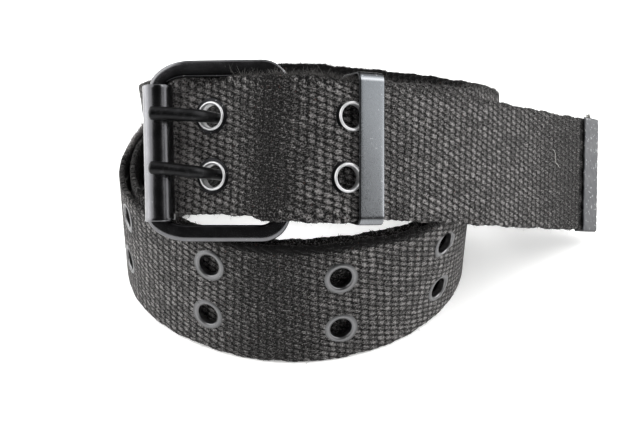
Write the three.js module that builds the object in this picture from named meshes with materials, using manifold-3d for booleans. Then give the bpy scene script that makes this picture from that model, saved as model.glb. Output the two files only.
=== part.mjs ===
// Canvas web belt, coiled and buckled, lying on a surface. Millimetres, +Z up.
// The strap is one woven band. From its fixed end on the buckle it makes a raised turn that comes
// down behind, a turn on the surface, a turn nested inside that one, and then rises on the left,
// passes behind the roller, through the buckle and the keeper, and ends in a metal tip.

import * as THREE from 'three';
import { mergeVertices } from 'three/addons/utils/BufferGeometryUtils.js';
import Module from 'manifold-3d';

const wasm = await Module();
wasm.setup();

const degree = Math.PI / 180;

// Driving dimensions

const strap = { width: 37.5, thickness: 1.8, facetTurn: 14 * degree, longFacet: 30 };
const gap = 0.3;
const eyelet = {
  apart: 16.5,
  holeRadius: 3.2,
  flangeRadius: 4.8,
  barrelRadius: 3.55,
  height: 1.5,
  punchRadius: 3.95,
  seat: 5.2,
  sides: 10,
};
const buckle = {
  rollerAcross: -44.55,
  rollerDeep: 3.3,
  barAcross: -10.3,
  middleHigh: 17.15,
  outerHeight: 49.9,
  barWidth: 4.7,
  axleWidth: 3.6,
  depth: 3,
  bevel: 0.9,
  cornerSteps: 5,
};
const roller = { radius: 4.2, bore: 2.8, length: 37.6, high: 16.55, sides: 16 };
const prong = { radius: 1.65, eyeWall: 1.5, eyeHeight: 3.2, slotHeight: 4.4, highs: [25.4, 9.5], sides: 10, steps: 11 };
const keeper = {
  across: 11.67,
  deep: -0.97,
  high: 17.4,
  turn: 27,
  length: 7.6,
  height: 41.2,
  depth: 10.4,
  sheet: 0.8,
  corner: 1.8,
};
const tip = { length: 9.6, height: 38.5, sheet: 0.7, fabricEnd: 1.4, bottom: 0.9 };

// The raised stretch lies in a plane that is tipped back. Its own axes are
// across (to the right), deep (away from the viewer, sloping down) and high (along the tilt).

const raisedTilt = 33 * degree;
const raisedOrigin = new THREE.Vector3(0, -39.55, 45.65);

function raisedPoint({ across, deep, high }) {
  return raisedDirection(across, deep, high).add(raisedOrigin);
}

function raisedDirection(across, deep, high) {
  return new THREE.Vector3(across, deep, high).applyAxisAngle(new THREE.Vector3(1, 0, 0), -raisedTilt);
}

// A station of the strap holds its lower edge and the lean of its width:
// side degrees to the right and back degrees away from the viewer.

function station({ x, y, z, side, back }) {
  return [x, y, z, Math.tan(side * degree), Math.tan(back * degree)];
}

function raisedStation({ across, deep, high }) {
  const { x, y, z } = raisedPoint({ across, deep, high: high - strap.width / 2 });
  return station({ x, y, z, side: 0, back: raisedTilt / degree });
}

// Fixed end: a short flap behind the body, folded round the buckle's bar

const buckleTurn = Math.atan2(-buckle.rollerDeep, buckle.barAcross - buckle.rollerAcross);
const foldRadius = buckle.depth / 2 + 2 * gap + strap.thickness / 2;
const foldAcross = buckle.barAcross - (buckle.barWidth - buckle.depth) / 2;
const flap = [
  { across: 6, deep: -0.6, high: 17.2 },
  { across: -1, deep: -1.3, high: 17.2 },
  { across: -4.6, deep: 0.6, high: 17.2 },
  { across: -8.2, deep: foldRadius, high: 17.2 },
];
const fold = [90, 135, 180, 225, 270].map((turn) => ({
  across: foldAcross + foldRadius * Math.cos(turn * degree + buckleTurn),
  deep: foldRadius * Math.sin(turn * degree + buckleTurn),
  high: 17.2,
}));
const bodyUnderTail = [
  { across: -6, deep: -4.1, high: 17.2 },
  { across: 5, deep: -3.4, high: 17.4 },
  { across: 17.5, deep: 2.8, high: 17.8 },
  { across: 31, deep: 12.4, high: 18.2 },
];

// The raised turn goes round on the right and comes down to the surface behind

const comingDown = [
  { x: 44.0, y: -19.7, z: 32.6, side: 0, back: 33 },
  { x: 50.9, y: -9.9, z: 27.5, side: 0, back: 33 },
  { x: 55.6, y: -0.6, z: 22.2, side: 0, back: 32 },
  { x: 56.1, y: 18.0, z: 14.4, side: 0, back: 28 },
  { x: 49.1, y: 34.7, z: 8.7, side: 0, back: 24 },
  { x: 29.4, y: 55.0, z: 2.8, side: 0, back: 19 },
  { x: 7.5, y: 66.8, z: 0, side: 0, back: 15 },
  { x: -15.2, y: 69.1, z: 0, side: 0, back: 15 },
];

// Turns on the surface, about the coil's middle. The radius is that of the outer face at each
// bearing and lean is how far the wall leans outward there. Each later turn lies one layer
// further in, and the step inward is made on the hidden back half.

const coil = { x: -12.4, y: 1.6, layer: 3.3 };
const joiningCoil = [
  { bearing: 122, reach: 65, z: 0, lean: 8 },
  { bearing: 137, reach: 58.5, z: 0, lean: 2 },
  { bearing: 150, reach: 55.0, z: 0, lean: -2 },
];
const coilTable = [
  { bearing: 180, radius: 51.6, lean: -2 },
  { bearing: 210, radius: 49.8, lean: -2.5 },
  { bearing: 240, radius: 48.8, lean: -6.5 },
  { bearing: 270, radius: 50.6, lean: -8 },
  { bearing: 300, radius: 53.2, lean: -6 },
  { bearing: 330, radius: 56.4, lean: 3.5 },
  { bearing: 360, radius: 59.5, lean: -1 },
  { bearing: 390, radius: 57.5, lean: -1 },
  { bearing: 420, radius: 60.5, lean: 0 },
  { bearing: 450, radius: 63.0, lean: 0 },
  { bearing: 480, radius: 62.0, lean: 0 },
  { bearing: 510, radius: 55.4, lean: -2 },
];

function bearingStation({ bearing, reach, z, lean }) {
  const outX = Math.cos(bearing * degree);
  const outY = Math.sin(bearing * degree);
  const slant = Math.tan(lean * degree);
  return [coil.x + reach * outX, coil.y + reach * outY, z, slant * outX, slant * outY];
}

function coilStation({ bearing, radius, lean }, turn) {
  const layersIn = turn + Math.max(0, (bearing - 360) / 180);
  const reach = radius - strap.thickness / 2 - coil.layer * layersIn;
  return bearingStation({ bearing, reach, z: 0, lean });
}

// The inner turn leaves the nest behind, leans back and climbs on the left to the roller

const leavingNest = [
  { bearing: 30, reach: 50.8, z: 0, lean: 1 },
  { bearing: 60, reach: 48, z: 0, lean: 6 },
  { bearing: 90, reach: 45, z: 0, lean: 12 },
  { bearing: 120, reach: 44, z: 0.3, lean: 8 },
  { bearing: 148, reach: 43.6, z: 2, lean: 0 },
];
const climbing = [
  { x: -52.6, y: 4, z: 14, side: -3, back: 34 },
  { x: -47.7, y: -12.7, z: 29.6, side: -12, back: 34 },
  { x: -46.7, y: -21.8, z: 35.3, side: -9, back: 33 },
];

// Free end: behind the roller, over the buckle's bar, through the keeper and out to the tip

const freeEnd = [
  { across: -43.5, deep: 9.7, high: 18.9 },
  { across: -35, deep: 5.4, high: 18.6 },
  { across: -25, deep: 1.2, high: 18.2 },
  { across: -15, deep: -4.0, high: 17.8 },
  { across: -5, deep: -7.4, high: 17.3 },
  { across: 5, deep: -6.6, high: 17.1 },
  { across: 19, deep: 0.4, high: 16.9 },
  { across: 33, deep: 10.4, high: 16.2 },
  { across: 50, deep: 25.0, high: 15.1 },
  { across: 70, deep: 44.8, high: 14.0 },
  { across: 88, deep: 63.0, high: 13.2 },
  { across: 93.8, deep: 68.9, high: 12.9 },
];

const stations = [
  ...[...flap, ...fold, ...bodyUnderTail].map(raisedStation),
  ...comingDown.map(station),
  ...joiningCoil.map(bearingStation),
  ...coilTable.map((row) => coilStation(row, 0)),
  ...coilTable.filter((row) => row.bearing <= 360).map((row) => coilStation(row, 1)),
  ...leavingNest.map(bearingStation),
  ...climbing.map(station),
  ...freeEnd.map(raisedStation),
];

// Natural cubic spline through the stations, spaced by the distance between them

function naturalSpline(rows) {
  const knots = [0];
  for (let i = 1; i < rows.length; i += 1) {
    const [a, b] = [rows[i - 1], rows[i]];
    knots.push(knots[i - 1] + Math.hypot(b[0] - a[0], b[1] - a[1], b[2] - a[2]));
  }
  const last = rows.length - 1;
  const span = (i) => knots[i + 1] - knots[i];
  const bends = rows[0].map((_, column) => {
    const slope = (i) => (rows[i + 1][column] - rows[i][column]) / span(i);
    const upper = [0];
    const value = [0];
    for (let i = 1; i < last; i += 1) {
      const pivot = 2 * (span(i - 1) + span(i)) - span(i - 1) * upper[i - 1];
      upper.push(span(i) / pivot);
      value.push((6 * (slope(i) - slope(i - 1)) - span(i - 1) * value[i - 1]) / pivot);
    }
    const bend = new Array(last + 1).fill(0);
    for (let i = last - 1; i > 0; i -= 1) {
      bend[i] = value[i] - upper[i] * bend[i + 1];
    }
    return bend;
  });
  const at = (t) => {
    let i = 0;
    while (i < last - 1 && knots[i + 1] < t) {
      i += 1;
    }
    const h = span(i);
    const u = t - knots[i];
    return rows[0].map((_, column) => {
      const [v0, v1] = [rows[i][column], rows[i + 1][column]];
      const [m0, m1] = [bends[column][i], bends[column][i + 1]];
      const slope = (v1 - v0) / h - (h * (2 * m0 + m1)) / 6;
      return v0 + slope * u + (m0 * u * u) / 2 + ((m1 - m0) * u ** 3) / (6 * h);
    });
  };
  return { at, end: knots[last] };
}

// The strap's middle line as closely spaced samples: the distance run, the place, the direction
// along it, across its width and out of its face. No corner of its section goes below the surface.

const sampleStep = 0.25;

function sampleStrap() {
  const route = naturalSpline(stations);
  const samples = [];
  let run = 0;
  for (let t = 0; t <= route.end; t += sampleStep) {
    const here = route.at(t);
    const next = route.at(Math.min(t + sampleStep, route.end));
    const prior = route.at(Math.max(t - sampleStep, 0));
    const along = new THREE.Vector3(next[0] - prior[0], next[1] - prior[1], next[2] - prior[2]).normalize();
    const wide = new THREE.Vector3(here[3], here[4], 1);
    wide.addScaledVector(along, -wide.dot(along)).normalize();
    const out = along.clone().cross(wide).normalize();
    const lowest = (strap.thickness / 2) * Math.abs(out.z);
    const middle = new THREE.Vector3(here[0], here[1], Math.max(here[2], lowest));
    middle.addScaledVector(wide, strap.width / 2);
    if (samples.length > 0) {
      run += middle.distanceTo(samples[samples.length - 1].middle);
    }
    samples.push({ run, middle, along, wide, out });
  }
  return samples;
}

const samples = sampleStrap();
const strapLength = samples[samples.length - 1].run;

function strapAt(run) {
  return samples.find((sample) => sample.run >= run) ?? samples[samples.length - 1];
}

// Solids

function toSolid(geometry) {
  const bare = geometry.clone();
  bare.deleteAttribute('normal');
  bare.deleteAttribute('uv');
  const merged = mergeVertices(bare, 1e-4);
  return new wasm.Manifold(new wasm.Mesh({
    numProp: 3,
    vertProperties: new Float32Array(merged.attributes.position.array),
    triVerts: new Uint32Array(merged.index.array),
  }));
}

function toGeometry(solid) {
  const mesh = solid.getMesh();
  const geometry = new THREE.BufferGeometry();
  geometry.setAttribute('position', new THREE.BufferAttribute(new Float32Array(mesh.vertProperties), 3));
  geometry.setIndex(new THREE.BufferAttribute(new Uint32Array(mesh.triVerts), 1));
  geometry.computeVertexNormals();
  return geometry;
}

function placed(geometry, place, xAxis, yAxis, zAxis) {
  return geometry.applyMatrix4(new THREE.Matrix4().makeBasis(xAxis, yAxis, zAxis).setPosition(place));
}

// Stands an extrusion, drawn across and deep, up along high and turns it about that axis

function stood(geometry, place, turn) {
  const across = raisedDirection(Math.cos(turn), Math.sin(turn), 0);
  const deep = raisedDirection(-Math.sin(turn), Math.cos(turn), 0);
  return placed(geometry, raisedPoint(place), across, deep, raisedDirection(0, 0, 1));
}

function roundedOutline(halfWidth, halfHeight, radius, steps) {
  const points = [];
  for (let corner = 0; corner < 4; corner += 1) {
    const signX = corner === 0 || corner === 3 ? 1 : -1;
    const signY = corner < 2 ? 1 : -1;
    for (let i = 0; i <= steps; i += 1) {
      const angle = (corner + i / steps) * 90 * degree;
      points.push(new THREE.Vector2(
        signX * (halfWidth - radius) + radius * Math.cos(angle),
        signY * (halfHeight - radius) + radius * Math.sin(angle),
      ));
    }
  }
  return points;
}

function extruded(outline, hole, depth) {
  const shape = new THREE.Shape(outline);
  if (hole) {
    shape.holes.push(new THREE.Path(hole));
  }
  return new THREE.ExtrudeGeometry(shape, { depth, bevelEnabled: false }).translate(0, 0, -depth / 2);
}

// Webbing: the strap's section at chosen samples, joined into one closed band. A flat facet
// lies under every pair of eyelets. A pair's shift moves it up the strap's width, and its lean
// is how much farther from the tip the upper eyelet is than the lower.

const eyeletTable = [
  { fromTip: 114.8, shift: 0.7, lean: -1.2 },
  { fromTip: 154.7, shift: 0.2, lean: 1.2 },
  ...[1, 2, 3, 4, 5].map((i) => ({ fromTip: 154.7 + 39.6 * i, shift: 0, lean: 0 })),
  ...[8, 7, 6, 5, 4, 3, 2, 1].map((i) => ({ fromTip: 718.7 - 39.8 * i, shift: 0, lean: 0 })),
  { fromTip: 719.5, shift: 1.2, lean: -0.5 },
  { fromTip: 753.8, shift: -0.3, lean: -0.4 },
  { fromTip: 792.4, shift: 1.2, lean: -0.3 },
  { fromTip: 829.0, shift: 2.2, lean: -1.4 },
  { fromTip: 869.0, shift: 0, lean: 0 },
];

// The facet under a pair is the chord between the two ends of its seat

function seatAt(run) {
  const ends = [strapAt(run - eyelet.seat), strapAt(run + eyelet.seat)];
  const middle = ends[0].middle.clone().lerp(ends[1].middle, 0.5);
  const along = ends[1].middle.clone().sub(ends[0].middle).normalize();
  const wide = ends[0].wide.clone().add(ends[1].wide);
  wide.addScaledVector(along, -wide.dot(along)).normalize();
  return { ends, middle, along, wide, out: along.clone().cross(wide) };
}

const seats = eyeletTable.map(({ fromTip }) => seatAt(strapLength - fromTip));

// Between two seats the sections share out the bend and the distance between them evenly

function sectionsBetween(start, end) {
  const inside = samples.filter(({ run }) => run >= start && run <= end);
  const shares = [0];
  for (let i = 1; i < inside.length; i += 1) {
    const turned = inside[i].out.angleTo(inside[i - 1].out) / strap.facetTurn;
    const moved = (inside[i].run - inside[i - 1].run) / strap.longFacet;
    shares.push(shares[i - 1] + turned + moved);
  }
  const total = shares[shares.length - 1];
  const facets = Math.ceil(total);
  return Array.from({ length: facets - 1 }, (_, i) => (
    inside[shares.findIndex((share) => share >= (total * (i + 1)) / facets)]
  ));
}

function webbingSections() {
  const sections = [samples[0]];
  let start = 0;
  for (const { ends, wide, out } of [...seats].reverse()) {
    sections.push(...sectionsBetween(start, ends[0].run));
    sections.push({ middle: ends[0].middle, wide, out }, { middle: ends[1].middle, wide, out });
    start = ends[1].run;
  }
  const endRun = strapLength - tip.fabricEnd;
  return [...sections, ...sectionsBetween(start, endRun), strapAt(endRun)];
}

function webbingGeometry() {
  const sections = webbingSections();
  const points = [];
  for (const { middle, wide, out } of sections) {
    for (const [sideways, outward] of [[-1, -1], [-1, 1], [1, 1], [1, -1]]) {
      const corner = middle.clone()
        .addScaledVector(wide, (sideways * strap.width) / 2)
        .addScaledVector(out, (outward * strap.thickness) / 2);
      points.push(corner.x, corner.y, corner.z);
    }
  }
  const faces = [];
  for (let i = 0; i + 1 < sections.length; i += 1) {
    for (let k = 0; k < 4; k += 1) {
      const a = 4 * i + k;
      const b = 4 * i + ((k + 1) % 4);
      faces.push(a, b + 4, b, a, a + 4, b + 4);
    }
  }
  const end = 4 * (sections.length - 1);
  faces.push(0, 1, 2, 0, 2, 3, end, end + 2, end + 1, end, end + 3, end + 2);
  const geometry = new THREE.BufferGeometry();
  geometry.setAttribute('position', new THREE.Float32BufferAttribute(points, 3));
  geometry.setIndex(faces);
  return geometry;
}

const eyeletPlaces = eyeletTable.flatMap(({ shift, lean }, pair) => {
  const seat = seats[pair];
  return [['upper', 1], ['lower', -1]].map(([row, side]) => ({
    ...seat,
    name: `eyelet_${String(pair + 1).padStart(2, '0')}_${row}`,
    middle: seat.middle.clone()
      .addScaledVector(seat.wide, shift + (side * eyelet.apart) / 2)
      .addScaledVector(seat.along, (-side * lean) / 2),
  }));
});

// Outline of a prong's slot at the fold, across and deep

const slotOutline = [[-15.6, 0.5], [-15.0, -1.8], [-12.2, -3.8], [-5.2, -5.2], [-5.2, 4.6], [-13, 4.6]];

function webbing() {
  let solid = toSolid(webbingGeometry());
  for (const { middle, along, wide, out } of eyeletPlaces) {
    const punch = new THREE.CylinderGeometry(eyelet.punchRadius, eyelet.punchRadius, 2 * strap.thickness, eyelet.sides);
    solid = solid.subtract(toSolid(placed(punch, middle, along, out, along.clone().cross(out))));
  }
  const outline = slotOutline.map(([across, deep]) => new THREE.Vector2(across, deep));
  for (const high of prong.highs) {
    const slot = extruded(outline, null, prong.slotHeight);
    solid = solid.subtract(toSolid(stood(slot, { across: 0, deep: 0, high }, 0)));
  }
  return toGeometry(solid);
}

function eyeletGeometry({ middle, along, out }) {
  const { holeRadius, flangeRadius, barrelRadius, height } = eyelet;
  const under = strap.thickness / 2 + gap;
  const outline = [
    [holeRadius, -height],
    [flangeRadius, -under],
    [barrelRadius, -under],
    [barrelRadius, under],
    [flangeRadius, under],
    [holeRadius, height],
    [holeRadius, -height],
  ];
  const ring = new THREE.LatheGeometry(outline.map(([r, y]) => new THREE.Vector2(r, y)), eyelet.sides);
  return toGeometry(toSolid(placed(ring, middle, along, out, along.clone().cross(out))));
}

// Buckle frame: a ring of eight sides round a rounded opening. Its corners are longer across
// at the roller than at the bar.

const barReach = Math.hypot(buckle.rollerDeep, buckle.barAcross - buckle.rollerAcross);
const outerEdge = {
  left: -buckle.axleWidth / 2,
  right: barReach + buckle.barWidth / 2,
  high: buckle.outerHeight / 2,
  corners: { left: 11, right: 8, high: 8 },
};
const innerEdge = {
  left: buckle.axleWidth / 2,
  right: barReach - buckle.barWidth / 2,
  high: buckle.outerHeight / 2 - buckle.barWidth,
  corners: { left: 2.6, right: 3.5, high: 1.8 },
};

function frameOutline(edge, inset) {
  const points = [];
  const high = edge.corners.high - inset;
  for (let corner = 0; corner < 4; corner += 1) {
    const onRight = corner === 0 || corner === 3;
    const side = onRight ? 1 : -1;
    const up = corner < 2 ? 1 : -1;
    const across = (onRight ? edge.corners.right : edge.corners.left) - inset;
    const x = (onRight ? edge.right : edge.left) - side * inset;
    const y = up * (edge.high - inset);
    for (let i = 0; i <= buckle.cornerSteps; i += 1) {
      const angle = (corner + i / buckle.cornerSteps) * 90 * degree;
      points.push([
        x - side * across + across * Math.cos(angle),
        y - up * high + high * Math.sin(angle),
      ]);
    }
  }
  return points;
}

function frameGeometry() {
  const half = buckle.depth / 2;
  const flat = half - buckle.bevel;
  const rings = [
    { points: frameOutline(outerEdge, 0), deep: -flat },
    { points: frameOutline(outerEdge, 0), deep: flat },
    { points: frameOutline(outerEdge, buckle.bevel), deep: half },
    { points: frameOutline(innerEdge, -buckle.bevel), deep: half },
    { points: frameOutline(innerEdge, 0), deep: flat },
    { points: frameOutline(innerEdge, 0), deep: -flat },
    { points: frameOutline(innerEdge, -buckle.bevel), deep: -half },
    { points: frameOutline(outerEdge, buckle.bevel), deep: -half },
  ];
  const count = rings[0].points.length;
  const positions = rings.flatMap(({ points, deep }) => points.flatMap(([x, y]) => [x, deep, y]));
  const faces = [];
  for (let ring = 0; ring < rings.length; ring += 1) {
    const following = (ring + 1) % rings.length;
    for (let i = 0; i < count; i += 1) {
      const j = (i + 1) % count;
      const [a, b] = [ring * count + i, ring * count + j];
      const [c, d] = [following * count + j, following * count + i];
      faces.push(a, c, b, a, d, c);
    }
  }
  const geometry = new THREE.BufferGeometry();
  geometry.setAttribute('position', new THREE.Float32BufferAttribute(positions, 3));
  geometry.setIndex(faces);
  const place = { across: buckle.rollerAcross, deep: buckle.rollerDeep, high: buckle.middleHigh };
  return toGeometry(toSolid(stood(geometry, place, buckleTurn)));
}

function rollerGeometry() {
  const half = roller.length / 2;
  const outline = [
    [roller.bore, -half],
    [roller.radius, -half],
    [roller.radius, half],
    [roller.bore, half],
    [roller.bore, -half],
  ];
  const tube = new THREE.LatheGeometry(outline.map(([r, y]) => new THREE.Vector2(r, y)), roller.sides);
  const place = { across: buckle.rollerAcross, deep: buckle.rollerDeep, high: roller.high };
  return toGeometry(toSolid(stood(tube.rotateX(Math.PI / 2), place, 0)));
}

// A prong lies on the roller's front, dips through its eyelet, passes behind the strap and
// ends in a flat eye round the bar. The rise is how much higher it is there than at the bar.

const prongTable = [
  { across: -44.2, deep: -3.0, rise: 2.2 },
  { across: -41.5, deep: -2.85, rise: 2.0 },
  { across: -38, deep: -2.0, rise: 1.7 },
  { across: -34, deep: -1.1, rise: 1.4 },
  { across: -31.5, deep: 0.6, rise: 1.25 },
  { across: -29.6, deep: 3.0, rise: 1.1 },
  { across: -27.7, deep: 5.1, rise: 0.9 },
  { across: -24.2, deep: 6.3, rise: 0.7 },
  { across: -19.5, deep: 5.2, rise: 0.3 },
  { across: -14.1, deep: 1.2, rise: 0 },
];

function prongGeometry(barHigh) {
  const points = prongTable.map(({ across, deep, rise }) => raisedPoint({ across, deep, high: barHigh + rise }));
  const circle = Array.from({ length: prong.sides }, (_, i) => {
    const angle = (i / prong.sides) * 2 * Math.PI;
    return new THREE.Vector2(prong.radius * Math.cos(angle), prong.radius * Math.sin(angle));
  });
  const shaft = new THREE.ExtrudeGeometry(new THREE.Shape(circle), {
    steps: prong.steps,
    extrudePath: new THREE.CatmullRomCurve3(points),
    bevelEnabled: false,
  });
  const round = new THREE.SphereGeometry(prong.radius, prong.sides, 5).translate(...points[0].toArray());
  const clear = (extra) => roundedOutline(
    buckle.barWidth / 2 + extra,
    buckle.depth / 2 + extra,
    buckle.bevel + extra,
    3,
  );
  const eye = extruded(clear(gap + prong.eyeWall), clear(gap), prong.eyeHeight);
  const place = { across: buckle.barAcross, deep: 0, high: barHigh };
  return toGeometry(toSolid(shaft).add(toSolid(round)).add(toSolid(stood(eye, place, buckleTurn))));
}

function keeperGeometry() {
  const outer = roundedOutline(keeper.depth / 2, keeper.height / 2, keeper.corner, 3);
  const inner = roundedOutline(
    keeper.depth / 2 - keeper.sheet,
    keeper.height / 2 - keeper.sheet,
    keeper.corner - keeper.sheet,
    3,
  );
  const loop = extruded(outer, inner, keeper.length);
  const turn = keeper.turn * degree;
  const along = raisedDirection(Math.cos(turn), Math.sin(turn), 0);
  const deep = raisedDirection(-Math.sin(turn), Math.cos(turn), 0);
  const place = raisedPoint({ across: keeper.across, deep: keeper.deep, high: keeper.high });
  return toGeometry(toSolid(placed(loop, place, deep, raisedDirection(0, 0, 1), along)));
}

function tipGeometry() {
  const end = samples[samples.length - 1];
  const inside = strap.thickness / 2 + 1.5 * gap;
  const outside = inside + tip.sheet;
  const outline = [
    [-tip.length, -outside],
    [-0.8, -outside],
    [-0.2, -outside * 0.6],
    [0, 0],
    [-0.2, outside * 0.6],
    [-0.8, outside],
    [-tip.length, outside],
    [-tip.length, inside],
    [-tip.bottom, inside],
    [-tip.bottom, -inside],
    [-tip.length, -inside],
  ];
  const cap = extruded(outline.map(([x, y]) => new THREE.Vector2(x, y)), null, tip.height);
  return toGeometry(toSolid(placed(cap, end.middle, end.along, end.out.clone().negate(), end.wide)));
}

// Assembly

const finishes = {
  canvas: { color: 0x17181a, roughness: 0.95, metalness: 0 },
  blackEnamel: { color: 0x0c0c0d, roughness: 0.25, metalness: 0.4 },
  gunmetal: { color: 0x3a4148, roughness: 0.35, metalness: 0.9 },
};

const belt = new THREE.Group();
belt.name = 'canvas_web_belt';

function addPiece(name, geometry, finish) {
  const mesh = new THREE.Mesh(geometry, new THREE.MeshStandardMaterial(finishes[finish]));
  mesh.name = name;
  belt.add(mesh);
}

addPiece('webbing', webbing(), 'canvas');
addPiece('frame', frameGeometry(), 'blackEnamel');
addPiece('roller', rollerGeometry(), 'blackEnamel');
addPiece('prong_upper', prongGeometry(prong.highs[0]), 'blackEnamel');
addPiece('prong_lower', prongGeometry(prong.highs[1]), 'blackEnamel');
addPiece('keeper', keeperGeometry(), 'gunmetal');
addPiece('tip', tipGeometry(), 'gunmetal');
for (const place of eyeletPlaces) {
  addPiece(place.name, eyeletGeometry(place), 'gunmetal');
}

// The origin is the middle of the underside

const box = new THREE.Box3().setFromObject(belt);
const shift = new THREE.Vector3(-(box.min.x + box.max.x) / 2, -(box.min.y + box.max.y) / 2, -box.min.z);
for (const mesh of belt.children) {
  mesh.geometry.translate(shift.x, shift.y, shift.z);
}

export default belt;
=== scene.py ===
import bpy
import numpy as np
from math import radians
from mathutils import Matrix, Vector


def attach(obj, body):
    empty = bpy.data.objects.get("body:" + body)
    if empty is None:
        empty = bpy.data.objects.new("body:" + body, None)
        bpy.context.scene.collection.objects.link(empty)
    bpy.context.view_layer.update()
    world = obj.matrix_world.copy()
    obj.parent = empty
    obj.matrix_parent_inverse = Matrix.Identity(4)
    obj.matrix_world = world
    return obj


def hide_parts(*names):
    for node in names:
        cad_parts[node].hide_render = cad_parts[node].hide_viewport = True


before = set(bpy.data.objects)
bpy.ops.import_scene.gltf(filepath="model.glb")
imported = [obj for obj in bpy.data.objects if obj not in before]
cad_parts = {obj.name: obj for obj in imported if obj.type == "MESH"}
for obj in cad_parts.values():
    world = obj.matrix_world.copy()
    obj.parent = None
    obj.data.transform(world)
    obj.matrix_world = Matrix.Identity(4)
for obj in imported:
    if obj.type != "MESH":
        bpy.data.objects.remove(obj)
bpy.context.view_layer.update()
print("frame loaded")

mm = 0.001
degrees = np.pi / 180

# The strap's route, in millimetres and degrees, from the folded end to the free one. Its places are
# of three kinds. In the buckle's tipped plane: the middle line's across, deep and high. Stands:
# the lower edge's x, y, z and how far the strap leans to the side and back. About the coil's middle:
# the lower edge's bearing, radius, height and outward lean, with the height left out on the floor.

strap = {
    "width": 37.5,
    "thickness": 1.8,
    "raisedTilt": 33,
    "raisedOrigin": (0, -39.55, 45.65),
    "coilMiddle": (-12.4, 1.6),
    "coilLayer": 3.3,
    "placeInFrame": (-15.6099, -15.3763, 0.0177),
    "tableStep": 0.25,
}

foldedEnd = [(6, -0.6, 17.2), (-1, -1.3, 17.2), (-4.6, 0.6, 17.2), (-8.2, 3.0, 17.2)]
fold = {"across": -11.15, "high": 17.2, "radius": 3.0}
bodyUnderTail = [(-6, -4.1, 17.2), (5, -3.4, 17.4), (17.5, 2.8, 17.8), (31, 12.4, 18.2)]
comingDown = [
    (44.0, -19.7, 32.6, 0, 33), (50.9, -9.9, 27.5, 0, 33), (55.6, -0.6, 22.2, 0, 32),
    (56.1, 18.0, 14.4, 0, 28), (49.1, 34.7, 8.7, 0, 24), (29.4, 55.0, 2.8, 0, 19),
    (7.5, 66.8, 0, 0, 15), (-15.2, 69.1, 0, 0, 15),
]
joiningCoil = [(122, 65, 0, 8), (137, 58.5, 0, 2), (150, 55.0, 0, -2)]
coilTable = [
    (180, 51.6, -2), (210, 49.8, -2.5), (240, 48.8, -6.5), (270, 50.6, -8), (300, 53.2, -6),
    (330, 56.4, 3.5), (360, 59.5, -1), (390, 57.5, -1), (420, 60.5, 0), (450, 63.0, 0),
    (480, 62.0, 0), (510, 55.4, -2),
]
leavingNest = [(30, 50.8, 0, 1), (60, 48, 0, 6), (90, 45, 0, 12), (120, 44, 0.3, 8), (148, 43.6, 2, 0)]
climbing = [(-52.6, 4, 14, -3, 34), (-47.7, -12.7, 29.6, -12, 34), (-46.7, -21.8, 35.3, -9, 33)]
freeEnd = [
    (-43.5, 9.7, 18.9), (-35, 5.4, 18.6), (-25, 1.2, 18.2), (-15, -4.0, 17.8), (-5, -7.4, 17.3),
    (5, -6.6, 17.1), (19, 0.4, 16.9), (33, 10.4, 16.2), (50, 25.0, 15.1), (70, 44.8, 14.0),
    (88, 63.0, 13.2), (93.8, 68.9, 12.9),
]

tilt = radians(strap["raisedTilt"])
raisedAxes = np.array([[1, 0, 0], [0, np.cos(tilt), -np.sin(tilt)], [0, np.sin(tilt), np.cos(tilt)]])
placeInFrame = np.array(strap["placeInFrame"])
barsApart = (34.25, -3.3)  # from the roller's bar to the prongs' bar, across and deep
buckleTurn = np.arctan2(barsApart[1], barsApart[0])


def raised(points):
    # across, deep and high along the three tipped axes, from the raised plane's origin
    return np.array(points, float) @ raisedAxes + np.array(strap["raisedOrigin"])


def routeRows():
    # One row a station: the lower edge's x, y, z and the slants of the width to the side and back,
    # each slant the tangent of its lean
    def fromRaised(points):
        # Half a width down from the middle line, leaning as the tipped plane does
        low = raised(points) - raisedAxes[2] * strap["width"] / 2
        slants = np.tile([0, np.tan(tilt)], (len(points), 1))
        return np.hstack([low, slants])

    def fromStands(rows):
        # The lower edge as it is given
        rows = np.array(rows, float)
        return np.hstack([rows[:, :3], np.tan(rows[:, 3:] * degrees)])

    def fromBearings(rows):
        # The coil's middle plus the radius along the bearing, with the lean along the bearing too
        bearing, reach, z, lean = np.array(rows, float).T
        out = np.stack([np.cos(bearing * degrees), np.sin(bearing * degrees)], 1)
        place = np.array(strap["coilMiddle"]) + out * reach[:, None]
        return np.hstack([place, z[:, None], out * np.tan(lean * degrees)[:, None]])

    def fromCoil(rows, turn):
        # The table's radius less half a thickness and one layer for each turn further in; past
        # bearing 360 the strap moves in by a layer more every half turn
        layersIn = [turn + max(0, (b - 360) / 180) for b, _, _ in rows]
        return fromBearings([
            (b, r - strap["thickness"] / 2 - strap["coilLayer"] * k, 0, lean)
            for (b, r, lean), k in zip(rows, layersIn)
        ])

    turns = np.array([90, 135, 180, 225, 270]) * degrees + buckleTurn
    foldX, foldY = fold["across"] + fold["radius"] * np.cos(turns), fold["radius"] * np.sin(turns)
    folded = np.stack([foldX, foldY, fold["high"] + 0 * turns], 1)
    return np.vstack([
        fromRaised(foldedEnd), fromRaised(folded), fromRaised(bodyUnderTail), fromStands(comingDown),
        fromBearings(joiningCoil), fromCoil(coilTable, 0),
        fromCoil([row for row in coilTable if row[0] <= 360], 1),
        fromBearings(leavingNest), fromStands(climbing), fromRaised(freeEnd),
    ])


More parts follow.
